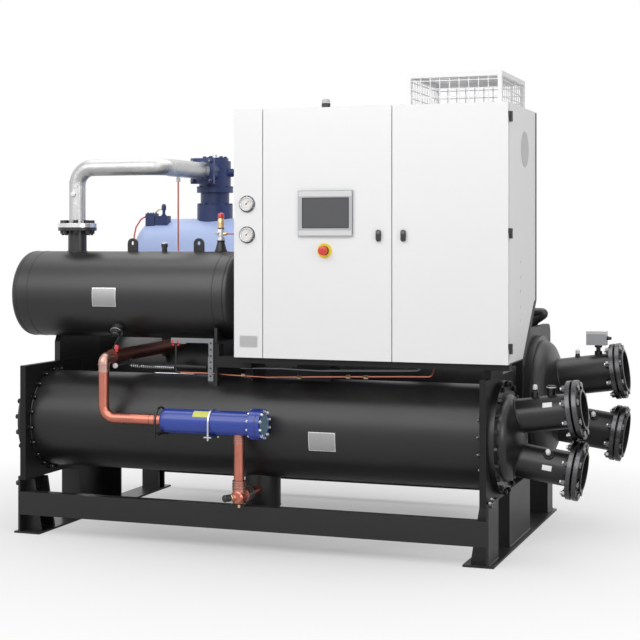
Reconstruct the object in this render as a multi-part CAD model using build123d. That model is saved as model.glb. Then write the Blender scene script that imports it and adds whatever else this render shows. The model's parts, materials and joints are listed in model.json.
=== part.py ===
from build123d import *
import math
import os

# Water-cooled screw chiller on two steel feet. Millimetres, +Z up.
# The model is laid out from the middle of the base: X runs along the shells,
# Y runs from the cabinet side (negative) to the back, and Z is 0 on the floor.

# Base
base_length = 2570
base_depth = 1600
foot_width = 150
foot_plate = 10
web_plate = 12
web_inset = 24
leg_top = 300
front_leg = (0, 210)
middle_leg = (460, 960)
back_leg = (1455, 1600)
rail_height = 120
rail_depth = 60
rail_wall = 6
rail_z = 98

# Tubesheets, shells and heads
tubesheet_thick = 32
tubesheet_inset = 36
tubesheet_z = 280
shell_wall = 10
condenser_y = -500
condenser_z = 580
condenser_r = 254
condenser_sheet = (600, 600)
evaporator_y = 410
evaporator_z = 672
evaporator_r = 330
evaporator_sheet = (780, 785)
evaporator_corner_r = 60
head_flange = 30
head_wall = 10
condenser_head = (215, 100, 50)
condenser_ring_r = 276
evaporator_head = (322, 125, 70)
evaporator_ring_r = 346

# Water connections
nozzle_tilt = 8
nozzle_wall = 6
condenser_nozzle_r = 84.15
condenser_nozzle_z = 97
condenser_flange = (142.5, 240, 11.5)
condenser_reach = 372
evaporator_nozzle_r = 101.5
evaporator_nozzle_z = 108
evaporator_flange = (148, 254, 11.5)
evaporator_reach = 444
flange_thick = 22
flange_gap = 10
flange_hub = 14
bolts_per_flange = 8
switch_x = 1575
switch_z = (975, 1048)

# Oil separator
separator_x = (-1355, -148)
separator_y = -450
separator_z = 1249
separator_r = 230
separator_wall = 12
separator_dish = (45, 60)
separator_knuckle = 30
neck_x = -1103
neck_r = 50
flange_r = 104
neck_bore = 44
neck_flange_z = 1590
neck_flange_thick = 18
right_saddle_x = -200
bridge_z = (690, 1000)
lug_x = (-767, -379)
plug_x = -775
port_x = -580
safety_valve_x = -273

# Compressor and discharge side
compressor_y = 270
compressor_z = 1383
compressor_r = 280
compressor_x = (-1075, 330)
compressor_dome = (130, 90)
discharge_z = 1931
discharge_corner_x = -603
discharge_pipe_r = 44.5
valve_plate_y = 85
valve_plate = (140, 146)
valve_r = 92
service_port = (-947, 150)
service_stem_x = -872

suction_x = 690
suction_r = 95

# Liquid line
copper_r = 27
liquid_y = -830
liquid_x = -741
liquid_top_z = 936
liquid_low_z = 632
drier_x = (-408, 141)
drier_r = 60.5
drop_x = 9
drop_z = 270
sump_x = 4
sump_r = 92
sump_z = 172
clamp_x = (-420, -131)
clamp_z = 562
strut_x = -245
strut_y = -592
strut_z = (808, 1032)

# Control cabinet
cabinet_x = (-31, 1354)
cabinet_front = -800
cabinet_z = (957, 2187)
cabinet_depth = 666
cabinet_low_depth = 383
cabinet_slope_z = 1235
cabinet_sheet = 3
door_depth = 25
door_skin = 2
door_gap = 5
seam_x = (122, 788)
pin_r = 5
pin_play = 0.05
stop_x = 448
stop_z = 1489
stop_play = 0.3
gauge_z = (1719, 1566)
lock_x = (723, 847)

# Cage on the cabinet
cage_x = (835, 1303)
cage_y = (-705, -170)
cage_top = 2345
cage_bar = 20
mesh_wire = 4
mesh_step = 47
mesh_heights = (2227, 2266, 2305)


def block(x, y, z):
    size = [high - low for low, high in (x, y, z)]
    middle = [(low + high) / 2 for low, high in (x, y, z)]
    return Pos(*middle) * Box(*size)


def rod_x(x, y, z, r):
    return Pos((x[0] + x[1]) / 2, y, z) * Rot(0, 90, 0) * Cylinder(r, x[1] - x[0])


def rod_y(x, y, z, r):
    return Pos(x, (y[0] + y[1]) / 2, z) * Rot(90, 0, 0) * Cylinder(r, y[1] - y[0])


def rod_z(x, y, z, r):
    return Pos(x, y, (z[0] + z[1]) / 2) * Cylinder(r, z[1] - z[0])


def dish_solid(depth, radius, knuckle):
    """A solid dished end along +X from its rim at x = 0: a crown arc and a knuckle arc."""
    crown = (depth**2 + (radius - knuckle) ** 2 - knuckle**2) / (2 * (depth - knuckle))
    reach = math.hypot(crown - depth, radius - knuckle)
    ease = knuckle / reach
    join = ((crown - depth) * ease, radius - knuckle + (radius - knuckle) * ease)
    half = math.atan2(join[1] - radius + knuckle, join[0]) / 2 + math.pi / 4
    on_knuckle = (knuckle * math.cos(half), radius - knuckle + knuckle * math.sin(half))
    lean = math.atan2(join[1], join[0] + crown - depth) / 2
    on_crown = (depth - crown + crown * math.cos(lean), crown * math.sin(lean))
    edges = [
        Line((0, 0), (0, radius)),
        ThreePointArc((0, radius), on_knuckle, join),
        ThreePointArc(join, on_crown, (depth, 0)),
        Line((depth, 0), (0, 0)),
    ]
    return revolve(make_face(edges), Axis.X, 360)


def dish(depth, radius, knuckle, wall):
    return dish_solid(depth, radius, knuckle) - dish_solid(depth - wall, radius - wall, knuckle - wall)


def bent_pipe(points, bend, radius):
    """A pipe with equal bends along a list of corners."""
    path = FilletPolyline(*points, radius=bend)
    start = path @ 0
    ring = Plane(start, z_dir=path % 0) * Circle(radius)
    return sweep(ring, path=path)


def foot(side):
    """Floor plate with the web plates and gussets of three legs. side is -1 or 1."""
    outer = side * base_length / 2
    inner = outer - side * foot_width
    front = -base_depth / 2
    plate = block(sorted((outer, inner)), (front, -front), (0, foot_plate))
    web = outer - side * web_inset
    web_inner = web - side * web_plate
    result = plate
    legs = ((front_leg, 46, 89), (middle_leg, 100, 100), (back_leg, 100, 100))
    for span, top_width, low_width in legs:
        near = front + span[0]
        far = front + span[1]
        result += block(sorted((web, web_inner)), (near, far), (foot_plate, leg_top))
        if span[0] == 0:
            near += rail_depth
        if span[1] == base_depth:
            far -= rail_depth
        for edge in (near, far - web_plate):
            gusset = Polyline(
                (web_inner, foot_plate),
                (web_inner - side * low_width, foot_plate),
                (web_inner - side * top_width, tubesheet_z - 4),
                (web_inner, tubesheet_z - 4),
                close=True,
            )
            face = Plane.XZ.offset(-edge) * make_face(gusset)
            result += extrude(face, -web_plate)
    return result


def rail(side):
    """Channel between the feet, open towards the machine. side is -1 for the front."""
    half = base_length / 2 - web_inset - web_plate
    outer = side * base_depth / 2
    inner = outer - side * rail_depth
    solid = block((-half, half), sorted((outer, inner)), (rail_z, rail_z + rail_height))
    hollow_y = sorted((outer - side * rail_wall, inner - side))
    hollow = block((-half - 1, half + 1), hollow_y, (rail_z + rail_wall, rail_z + rail_height - rail_wall))
    return solid - hollow


def tubesheet(side, y, sheet, corner):
    """Thick upright plate at one end of a shell. side is -1 or 1."""
    outer = side * (base_length / 2 - tubesheet_inset)
    inner = outer - side * tubesheet_thick
    plate = block(
        sorted((outer, inner)),
        (y - sheet[0] / 2, y + sheet[0] / 2),
        (tubesheet_z, tubesheet_z + sheet[1]),
    )
    if corner:
        upright = plate.edges().filter_by(Axis.X).group_by(Axis.Z)[-1]
        plate = fillet(upright, corner)
    return plate


def shell(y, z, radius):
    half = base_length / 2 - tubesheet_inset - tubesheet_thick
    return rod_x((-half, half), y, z, radius) - rod_x((-half - 1, half + 1), y, z, radius - shell_wall)


def head(side, y, z, shape, ring_r):
    """Bolted ring with a dished end on the outside of a tubesheet."""
    radius, depth, knuckle = shape
    face = base_length / 2 - tubesheet_inset
    ring = Rot(0, 90, 0) * Cylinder(ring_r, head_flange)
    ring -= Rot(0, 90, 0) * Cylinder(radius - head_wall, head_flange + 2)
    dome = dish(depth, radius, knuckle, head_wall)
    result = Pos(head_flange / 2, 0, 0) * ring + Pos(head_flange, 0, 0) * dome
    turn = Rot(0, 0, 0) if side > 0 else Rot(0, 0, 180)
    return Pos(side * face, y, z) * turn * result


def nozzle_frame(y, z, up):
    """Place and lean of one water connection. up is 1 for the upper one, -1 for the lower."""
    face = base_length / 2 - tubesheet_inset + head_flange
    return Pos(face, y, z) * Rot(0, -up * nozzle_tilt, 0)


def nozzle(y, z, up, radius, flange, reach):
    flange_r, circle, hole_r = flange
    near = reach - 2 * flange_thick - flange_gap
    pipe = Pos(near / 2, 0, 0) * Rot(0, 90, 0) * Cylinder(radius, near)
    ring = Pos(near + flange_thick / 2, 0, 0) * Rot(0, 90, 0) * Cylinder(flange_r, flange_thick)
    bore = Pos(reach / 2, 0, 0) * Rot(0, 90, 0) * Cylinder(radius - nozzle_wall, reach + 40)
    result = pipe + ring - bore - bolt_holes(near + flange_thick / 2, circle, hole_r)
    return nozzle_frame(y, z, up) * result


def bolt_holes(x, circle, hole_r):
    holes = Rot(0, 90, 0) * Cylinder(hole_r, flange_thick + 4)
    step = 360 / bolts_per_flange
    turns = [Rot(step * (i + 0.5), 0, 0) for i in range(bolts_per_flange)]
    return [Pos(x, 0, 0) * turn * Pos(0, 0, circle / 2) * holes for turn in turns]


def companion_flange(y, z, up, radius, flange, reach):
    flange_r, circle, hole_r = flange
    middle = reach - flange_thick / 2
    ring = Pos(middle, 0, 0) * Rot(0, 90, 0) * Cylinder(flange_r, flange_thick)
    seat = Pos(middle - flange_thick / 2 - flange_gap / 2, 0, 0) * Rot(0, 90, 0)
    ring += seat * Cylinder(radius + 18, flange_gap)
    ring += Pos(reach + flange_hub / 2, 0, 0) * Rot(0, 90, 0) * Cylinder(radius + 14, flange_hub)
    bore = Pos(middle, 0, 0) * Rot(0, 90, 0) * Cylinder(radius + 0.5, flange_thick + 4 * flange_gap)
    result = ring - bore - bolt_holes(middle, circle, hole_r)
    return nozzle_frame(y, z, up) * result


def head_with_ports(y, z, shape, ring_r, radius, offset):
    """The right-hand head, cut where its two water connections enter."""
    result = head(1, y, z, shape, ring_r)
    for up in (-1, 1):
        pipe = Rot(0, 90, 0) * Cylinder(radius, 400)
        result -= nozzle_frame(y, z + up * offset, up) * Pos(200, 0, 0) * pipe
    return result


def trimmed_nozzle(y, z, up, radius, flange, reach, shape, offset):
    """A water connection cut off flush inside its dished head."""
    result = nozzle(y, z + up * offset, up, radius, flange, reach)
    face = base_length / 2 - tubesheet_inset + head_flange
    head_radius, depth, knuckle = shape
    inside = dish_solid(depth - head_wall, head_radius - head_wall, knuckle - head_wall)
    inside += rod_x((-60, 0), 0, 0, head_radius - head_wall)
    return result - Pos(face, y, z) * inside


def separator_shell():
    left, right = separator_x
    body = rod_x(separator_x, separator_y, separator_z, separator_r)
    body -= rod_x((left - 1, right + 1), separator_y, separator_z, separator_r - separator_wall)
    return body - rod_z(neck_x, separator_y, (separator_z, neck_flange_z), neck_bore)


def separator_neck():
    """Short pipe on top of the separator with its flange."""
    neck = rod_z(neck_x, separator_y, (separator_z, neck_flange_z), neck_r)
    neck -= rod_x(separator_x, separator_y, separator_z, separator_r)
    neck += rod_z(neck_x, separator_y, (neck_flange_z, neck_flange_z + neck_flange_thick), flange_r)
    return neck - rod_z(neck_x, separator_y, (separator_z, neck_flange_z + neck_flange_thick + 1), neck_bore)


def separator_end(side):
    x = separator_x[0] if side < 0 else separator_x[1]
    depth = separator_dish[0] if side < 0 else separator_dish[1]
    turn = Rot(0, 0, 0) if side > 0 else Rot(0, 0, 180)
    dome = dish(depth, separator_r, separator_knuckle, separator_wall)
    return Pos(x, separator_y, separator_z) * turn * dome


def left_saddle():
    """Plate on the front tubesheet, cut to the separator's round, and on to the rear tubesheet."""
    outer = tubesheet_inset - base_length / 2
    front = separator_y + 10
    back = condenser_y + condenser_sheet[0] / 2
    rear = evaporator_y - evaporator_sheet[0] / 2
    sheet_top = tubesheet_z + condenser_sheet[1]
    top = separator_z - separator_r + 40
    low, high = bridge_z
    outline = Polyline(
        (front, sheet_top), (front, sheet_top + 105), (front + 40, top), (rear - 120, top),
        (rear, high), (rear, low), (back, low), (back, sheet_top), close=True,
    )
    plate = extrude(Plane.YZ.offset(outer) * make_face(outline), tubesheet_thick)
    return plate - rod_x((outer - 1, outer + tubesheet_thick + 1), separator_y, separator_z, separator_r)


def right_saddle():
    """Upright plate between the front shell and the separator, rounded to both."""
    x = right_saddle_x
    span = (separator_y - 190, separator_y + 190)
    plate = block((x - 8, x + 8), span, (condenser_z + 150, separator_z - separator_r + 70))
    plate -= rod_x((x - 60, x + 60), separator_y, separator_z, separator_r)
    return plate - rod_x((x - 60, x + 60), condenser_y, condenser_z, condenser_r)


def lug(x):
    """Rounded lifting eye standing on top of the separator."""
    low = separator_z + separator_r - 6
    body = block((x - 28, x + 28), (separator_y - 8, separator_y + 8), (low, low + 48))
    body += rod_y(x, (separator_y - 8, separator_y + 8), low + 48, 28)
    body -= rod_y(x, (separator_y - 9, separator_y + 9), low + 50, 11)
    return body - rod_x((x - 60, x + 60), separator_y, separator_z, separator_r)


def separator_ports():
    """A capped port on top of the separator, and a heater plug low on its front."""
    port = rod_z(port_x, separator_y, (separator_z, separator_z + separator_r + 30), 14)
    port += rod_z(port_x, separator_y, (separator_z + separator_r + 22, separator_z + separator_r + 40), 18)
    lean = Pos(plug_x, separator_y, separator_z) * Rot(138, 0, 0)
    plug = lean * Pos(0, 0, separator_r + 8) * Cylinder(35, 40)
    plug += lean * Pos(0, 0, separator_r + 36) * Cylinder(24, 16)
    return port + plug - rod_x(separator_x, separator_y, separator_z, separator_r)


def safety_valve():
    """Relief valve on the separator: cone, bonnet, spring housing and cap."""
    low = separator_z + separator_r - 12
    valve = Pos(safety_valve_x, separator_y + 20, low + 42) * Cone(33, 24, 84)
    for z, r in (((1551, 1601), 22), ((1601, 1655), 18), ((1655, 1683), 16.5)):
        valve += rod_z(safety_valve_x, separator_y + 20, z, r)
    valve += rod_x((safety_valve_x, safety_valve_x + 62), separator_y + 20, 1574, 13)
    return valve - rod_x(separator_x, separator_y, separator_z, separator_r)


def discharge_pipe():
    low = neck_flange_z + neck_flange_thick
    flange = rod_z(neck_x, separator_y, (low, low + 22), flange_r)
    route = [
        (neck_x, separator_y, low + 22),
        (neck_x, separator_y, discharge_z),
        (discharge_corner_x, separator_y, discharge_z),
        (discharge_corner_x, valve_plate_y, discharge_z),
    ]
    return flange + bent_pipe(route, 95, discharge_pipe_r)


def discharge_valve():
    """Angle valve on the compressor outlet, its square flange facing the front."""
    x = discharge_corner_x
    y = compressor_y
    width, height = valve_plate
    plate = Pos(x, valve_plate_y + 12, discharge_z) * Box(width, 24, height)
    arm = rod_y(x, (valve_plate_y + 24, y), discharge_z, 64)
    valve = plate + arm
    spans = (((1836, 1994), valve_r), ((1994, 2012), valve_r - 14), ((1812, 1842), valve_r + 13),
             ((1734, 1816), valve_r - 9), ((compressor_z + 200, 1742), valve_r + 11))
    for z, r in spans:
        valve += rod_z(x, y, z, r)
    valve += rod_x((x, x + 112), y, discharge_z - 5, 24)
    return valve - rod_x((x - 120, x + 120), y, compressor_z, compressor_r)


def compressor_ports():
    """Service block, its flat lid and the small stop valve on the compressor's front shoulder."""
    x, y = service_port
    ports = block((x - 28, x + 28), (y - 30, y + 30), (1600, 1692))
    ports += block((x + 20, service_stem_x + 33), (y - 25, y + 25), (1600, 1678))
    ports += rod_z(service_stem_x, y, (1670, 1745), 8)
    ports += rod_z(service_stem_x, y, (1712, 1732), 13)
    return ports - rod_x((-1100, 0), compressor_y, compressor_z, compressor_r)


def compressor():
    """Long round casing with a domed left end, bolted joint rings and a stepped right end."""
    r = compressor_r
    left, right = compressor_x
    bulge, knuckle = compressor_dome
    y, z = compressor_y, compressor_z
    casing = rod_x((left + bulge, right - 60), y, z, r)
    casing += rod_x((right - 60, right), y, z, r - 30)
    casing += Pos(left + bulge, y, z) * Rot(0, 0, 180) * dish_solid(bulge, r, knuckle)
    for x in (-250, 60):
        casing += rod_x((x - 18, x + 18), y, z, r + 24)
    return casing


def compressor_feet():
    """Two cradles between the rear shell and the compressor."""
    result = None
    for x in (-850, 120):
        low = evaporator_z + 200
        plate = block((x - 10, x + 10), (compressor_y - 170, compressor_y + 170), (low, compressor_z - 200))
        plate -= rod_x((x - 30, x + 30), compressor_y, compressor_z, compressor_r)
        plate -= rod_x((x - 30, x + 30), evaporator_y, evaporator_z, evaporator_r)
        result = plate if result is None else result + plate
    return result


def suction_line():
    """Lagged pipe from the rear shell to the right end of the compressor."""
    x, y, z = suction_x, compressor_y, compressor_z
    route = [(x, y, evaporator_z + 200), (x, y, z), (compressor_x[1], y, z)]
    return bent_pipe(route, 150, suction_r) - rod_x((x - 190, x + 210), evaporator_y, evaporator_z, evaporator_r)


def liquid_line():
    route = [
        (liquid_x, 80, liquid_top_z + 12),
        (liquid_x, liquid_y, liquid_top_z),
        (liquid_x, liquid_y, liquid_low_z),
        (drier_x[0] - 20, liquid_y, liquid_low_z),
    ]
    stub = rod_x((drier_x[0] - 20, drier_x[0]), liquid_y, liquid_low_z, copper_r)
    return bent_pipe(route, 60, copper_r) + stub


def filter_drier():
    body = rod_x((drier_x[0] + 25, drier_x[1] - 60), liquid_y, liquid_low_z, drier_r)
    cone = Pos(drier_x[0] + 12.5, liquid_y, liquid_low_z) * Rot(0, 90, 0) * Cone(copper_r + 6, drier_r, 25)
    flange = rod_x((drier_x[1] - 60, drier_x[1] - 22), liquid_y, liquid_low_z, 76.5)
    cover = rod_x((drier_x[1] - 22, drier_x[1]), liquid_y, liquid_low_z, 76.5)
    return body + cone + flange + cover


def liquid_drop():
    """Upright pipe under the drier, and the short run from its valve into the sump."""
    drop = rod_z(drop_x, liquid_y, (drop_z + 30, liquid_low_z), copper_r)
    drop -= rod_x(drier_x, liquid_y, liquid_low_z, drier_r)
    run = rod_y(drop_x, (liquid_y + 34, condenser_y), drop_z, copper_r)
    return drop + run - rod_z(sump_x, condenser_y, (drop_z - 90, drop_z + 90), sump_r)


def angle_valve():
    """Stop valve at the foot of the drop, its capped spindle to the front."""
    x, y, z = drop_x, liquid_y, drop_z
    valve = rod_z(x, y, (z - 34, z + 30), 35)
    valve += rod_y(x, (y - 38, y + 34), z, 34)
    valve += rod_z(x, y, (z - 56, z - 30), 8)
    spindle = rod_y(0, (-62, 0), 0, 19) + rod_y(0, (-92, -60), 0, 22)
    valve += Pos(x, y, z) * Rot(0, 0, -30) * spindle
    sockets = rod_z(x, y, (z + 30, z + 78), 32) + rod_y(x, (y + 34, y + 88), z, 32)
    for gap in (46, 66, 104):
        sockets += rod_y(x, (y + gap, y + gap + 8), z, 37)
    bores = rod_z(x, y, (z + 30, z + 80), copper_r) + rod_y(x, (y + 34, y + 120), z, copper_r)
    return valve + sockets - bores


def drier_clamp(x):
    """Bracket from the front shell with a round bar bent over the drier."""
    arm = block((x - 20, x + 20), (liquid_y - 72, condenser_y), (clamp_z, clamp_z + 6))
    arm -= rod_x((x - 30, x + 30), condenser_y, condenser_z, condenser_r)
    bow = rod_x((x - 4, x + 4), liquid_y, liquid_low_z, drier_r + 8) - block(
        (x - 5, x + 5), (liquid_y - 80, liquid_y + 80), (clamp_z - 20, liquid_low_z)
    )
    for y in (liquid_y - drier_r - 8, liquid_y + drier_r):
        bow += block((x - 4, x + 4), (y, y + 8), (clamp_z - 14, liquid_low_z))
    return arm + bow - rod_x((x - 10, x + 10), liquid_y, liquid_low_z, drier_r)


def pipe_strut():
    """Perforated channel standing on the front shell, with an arm to its left."""
    x, y = strut_x, strut_y
    low, high = strut_z
    post = block((x - 15, x + 15), (y - 11, y + 11), (low, high))
    post -= block((x - 12, x + 12), (y - 8, y + 12), (low - 1, high + 1))
    for i in range(6):
        post -= rod_y(x, (y - 12, y), low + 30 + 32 * i, 5)
    post += block((x - 140, x - 15), (y - 11, y - 8), (high - 24, high))
    return post - rod_x((x - 200, x + 60), condenser_y, condenser_z, condenser_r)


def flow_switch():
    """Small box on a stem that stands on the upper rear water connection."""
    x = switch_x
    low, high = switch_z
    switch = block((x - 53, x + 53), (evaporator_y - 32, evaporator_y + 32), (low, high))
    for top, r in ((low, 10), (low - 34, 19)):
        switch += rod_z(x + 8, evaporator_y, (low - 120, top), r)
    switch += rod_z(x + 8, evaporator_y, (low - 12, low), 19)
    seat = nozzle_frame(evaporator_y, evaporator_z + evaporator_nozzle_z, 1) * Rot(0, 90, 0)
    return switch - seat * Cylinder(evaporator_nozzle_r, 2 * evaporator_reach)


def sump():
    body = rod_z(sump_x, condenser_y, (sump_z, condenser_z), sump_r)
    return body - rod_x((sump_x - 200, sump_x + 200), condenser_y, condenser_z, condenser_r)


def cabinet_side(x):
    front = cabinet_front + door_depth + door_gap
    back = cabinet_front + cabinet_depth
    low_back = cabinet_front + cabinet_low_depth
    low, high = cabinet_z
    outline = Polyline(
        (front, low), (low_back, low), (back, cabinet_slope_z), (back, high), (front, high), close=True
    )
    face = Plane.YZ.offset(x) * make_face(outline)
    return extrude(face, cabinet_sheet)


def cabinet_slope():
    """Sloped sheet behind and below, where the cabinet clears the shells."""
    back = cabinet_front + cabinet_depth
    low_back = cabinet_front + cabinet_low_depth
    low = cabinet_z[0]
    t = cabinet_sheet
    outline = Polyline(
        (low_back, low), (back, cabinet_slope_z), (back - t, cabinet_slope_z), (low_back - t, low + t / 2),
        close=True,
    )
    face = Plane.YZ.offset(cabinet_x[0] + t) * make_face(outline)
    return extrude(face, cabinet_x[1] - cabinet_x[0] - 2 * t)


def cabinet_sheets():
    front = cabinet_front + door_depth + door_gap
    back = cabinet_front + cabinet_depth
    low_back = cabinet_front + cabinet_low_depth
    low, high = cabinet_z
    t = cabinet_sheet
    left, right = cabinet_x
    inside = (left + t, right - t)
    nodes = {}
    nodes["cabinet_sides"] = cabinet_side(left) + cabinet_side(right - t)
    nodes["cabinet_back"] = block(inside, (back - t, back), (cabinet_slope_z, high - t))
    nodes["cabinet_slope"] = cabinet_slope()
    nodes["cabinet_top"] = block(inside, (front, back), (high - t, high))
    nodes["cabinet_bottom"] = block(inside, (front, low_back - t), (low, low + t))
    post = (seam_x[1] - 25, seam_x[1] + 25)
    plate = (left + 60, right - 60)
    nodes["cabinet_centre_post"] = block(post, (front, front + 40), (low + t, high - t))
    nodes["mounting_plate"] = block(plate, (back - 60, back - 57), (cabinet_slope_z + 20, high - 60))
    return nodes


def gauge_panel():
    """Fixed narrow front panel on the left, a folded tray like the doors."""
    left, right = cabinet_x[0], seam_x[0] - door_gap / 2
    outer = block((left, right), (cabinet_front, cabinet_front + door_depth + door_gap), cabinet_z)
    inner = block(
        (left + door_skin, right - door_skin),
        (cabinet_front + door_skin, cabinet_front + door_depth + door_gap + 1),
        (cabinet_z[0] + door_skin, cabinet_z[1] - door_skin),
    )
    return outer - inner


def door(left, right):
    """Folded sheet tray, open to the inside of the cabinet."""
    outer = block((left, right), (cabinet_front, cabinet_front + door_depth), cabinet_z)
    inner = block(
        (left + door_skin, right - door_skin),
        (cabinet_front + door_skin, cabinet_front + door_depth + 1),
        (cabinet_z[0] + door_skin, cabinet_z[1] - door_skin),
    )
    return outer - inner


def cabinet_frame():
    """Bars under the cabinet and the posts that carry them on the front shell."""
    left, right = cabinet_x
    low = cabinet_z[0]
    y = (cabinet_front + 30, cabinet_front + cabinet_low_depth)
    result = block((left, right), (y[0], y[0] + 50), (low - 30, low))
    result += block((left, right), (y[1] - 50, y[1]), (low - 30, low))
    for x in ((left, left + 50), (215, 395), (right - 120, right - 70)):
        result += block(x, y, (low - 30, low))
    arm_y = (cabinet_front + 100, cabinet_front + 160)
    result += block((left - 180, left + 50), arm_y, (low - 62, low - 6))
    result += block((left - 186, left - 125), arm_y, (low - 10, low + 54))
    post = block((215, 395), (condenser_y - 60, condenser_y + 60), (condenser_z, low - 30))
    result += post - rod_x((100, 500), condenser_y, condenser_z, condenser_r)
    result += block((left + 4, left + 16), (condenser_y - 90, condenser_y + 80), (700, low - 30))
    result -= rod_x((-200, 1200), condenser_y, condenser_z, condenser_r)
    inner = base_length / 2 - tubesheet_inset - tubesheet_thick
    sheet_top = tubesheet_z + condenser_sheet[1]
    upright_y = (condenser_y - 200, condenser_y + 60)
    result += block((inner, inner + tubesheet_thick), upright_y, (sheet_top, low - 30))
    return result


def cage():
    """Guard on the cabinet: four posts, a frame of bars and a top sheet."""
    low = cabinet_z[1]
    bar = cage_bar
    top = cage_top - 3
    result = block(cage_x, cage_y, (top, cage_top))
    for x in (cage_x[0], cage_x[1] - bar):
        result += block((x, x + bar), cage_y, (top - bar, top))
        for y in (cage_y[0], cage_y[1] - bar):
            result += block((x, x + bar), (y, y + bar), (low, top))
    for y in (cage_y[0], cage_y[1] - bar):
        result += block(cage_x, (y, y + bar), (top - bar, top))
    return result


def mesh_wall(along, across, spot):
    """Upright and level wires of one wall of the cage. along is the wall's span, across its plane."""
    low = cabinet_z[1]
    high = cage_top - 3 - cage_bar
    near = (across - mesh_wire / 2, across + mesh_wire / 2)
    inner = (along[0] + cage_bar, along[1] - cage_bar)
    wires = [spot(inner, near, (z, z + mesh_wire)) for z in mesh_heights]
    count = round((inner[1] - inner[0]) / mesh_step)
    for i in range(1, count):
        middle = inner[0] + (inner[1] - inner[0]) * i / count
        wires.append(spot((middle - mesh_wire / 2, middle + mesh_wire / 2), near, (low, high)))
    return wires


def cage_mesh():
    """Wire mesh in the four walls of the cage."""
    half = cage_bar / 2
    wires = []
    for y in (cage_y[0] + half, cage_y[1] - half):
        wires += mesh_wall(cage_x, y, lambda along, across, z: block(along, across, z))
    for x in (cage_x[0] + half, cage_x[1] - half):
        wires += mesh_wall(cage_y, x, lambda along, across, z: block(across, along, z))
    return wires[0].fuse(*wires[1:])


def gauge(z):
    x = (cabinet_x[0] + seam_x[0]) / 2 - 5
    body = rod_y(x, (cabinet_front - 14, cabinet_front), z, 34)
    return body + rod_y(x, (cabinet_front - 4, cabinet_front), z, 42)


def touch_screen():
    return block((312, 593), (cabinet_front - 12, cabinet_front), (1558, 1783))


def stop_collar():
    """Round seat of the stop button, bored for its stem."""
    collar = rod_y(stop_x, (cabinet_front - 8, cabinet_front), stop_z, 36)
    return collar - rod_y(stop_x, (cabinet_front - 9, cabinet_front + 1), stop_z, 14 + stop_play)


def stop_button():
    """Mushroom head on its stem."""
    stem = rod_y(stop_x, (cabinet_front - 20, cabinet_front - 6), stop_z, 14)
    return stem + rod_y(stop_x, (cabinet_front - 38, cabinet_front - 20), stop_z, 22)


def door_lock(x):
    body = block((x - 12, x + 12), (cabinet_front - 14, cabinet_front), (1545, 1578))
    for z in (1545, 1578):
        body += rod_y(x, (cabinet_front - 14, cabinet_front), z, 12)
    return body


hinge_x = cabinet_x[1] + 9
hinge_y = cabinet_front + door_depth
hinge_heights = (1031, 1572, 2120)


def side_hinges(moving):
    """Knuckle pairs on the right side: the fixed leaf below, the door leaf above."""
    result = None
    for z in hinge_heights:
        if moving:
            knuckle = rod_z(hinge_x, hinge_y, (z + 1, z + 24), 8)
            knuckle -= rod_z(hinge_x, hinge_y, (z, z + 20), pin_r + pin_play)
            leaf = block((cabinet_x[1], hinge_x), (cabinet_front + 4, hinge_y - 2), (z + 1, z + 24))
            leaf -= rod_z(hinge_x, hinge_y, (z, z + 25), 8)
        else:
            knuckle = rod_z(hinge_x, hinge_y, (z - 24, z), 8)
            knuckle += rod_z(hinge_x, hinge_y, (z - 24, z + 18), pin_r)
            leaf = block((cabinet_x[1], hinge_x), (hinge_y + 7, hinge_y + 30), (z - 24, z))
            leaf += block((cabinet_x[1] + 3, hinge_x), (hinge_y, hinge_y + 8), (z - 24, z))
        piece = knuckle + leaf
        result = piece if result is None else result + piece
    return result


def base_nodes():
    return {"left_foot": foot(-1), "right_foot": foot(1), "front_rail": rail(-1), "rear_rail": rail(1)}


def vessel_nodes(name, y, z, r, sheet, corner, shape, ring_r, pipe_r, pipe_z, flange, reach):
    """One shell between its tubesheets, with two dished heads and two water connections."""
    nodes = {}
    nodes[name + "_tubesheets"] = tubesheet(-1, y, sheet, corner) + tubesheet(1, y, sheet, corner)
    nodes[name + "_shell"] = shell(y, z, r)
    nodes[name + "_left_head"] = head(-1, y, z, shape, ring_r)
    nodes[name + "_right_head"] = head_with_ports(y, z, shape, ring_r, pipe_r, pipe_z)
    nozzles = [trimmed_nozzle(y, z, up, pipe_r, flange, reach, shape, pipe_z) for up in (1, -1)]
    flanges = [companion_flange(y, z + up * pipe_z, up, pipe_r, flange, reach) for up in (1, -1)]
    nodes[name + "_nozzles"] = nozzles[0] + nozzles[1]
    nodes[name + "_loose_flanges"] = flanges[0] + flanges[1]
    return nodes


def separator_nodes():
    nodes = {}
    nodes["separator_shell"] = separator_shell()
    nodes["separator_neck"] = separator_neck()
    nodes["separator_ends"] = separator_end(-1) + separator_end(1)
    nodes["separator_saddles"] = left_saddle() + right_saddle()
    nodes["lifting_lugs"] = lug(lug_x[0]) + lug(lug_x[1])
    nodes["separator_ports"] = separator_ports()
    nodes["safety_valve"] = safety_valve()
    return nodes


def machine_nodes():
    nodes = {}
    nodes["discharge_pipe"] = discharge_pipe()
    nodes["discharge_valve"] = discharge_valve()
    nodes["compressor"] = compressor()
    nodes["compressor_ports"] = compressor_ports()
    nodes["compressor_feet"] = compressor_feet()
    nodes["suction_line"] = suction_line()
    nodes["liquid_line"] = liquid_line()
    nodes["filter_drier"] = filter_drier()
    nodes["liquid_drop"] = liquid_drop()
    nodes["angle_valve"] = angle_valve()
    nodes["drier_clamps"] = drier_clamp(clamp_x[0]) + drier_clamp(clamp_x[1])
    nodes["pipe_strut"] = pipe_strut()
    nodes["flow_switch"] = flow_switch()
    nodes["condenser_sump"] = sump()
    return nodes


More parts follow.
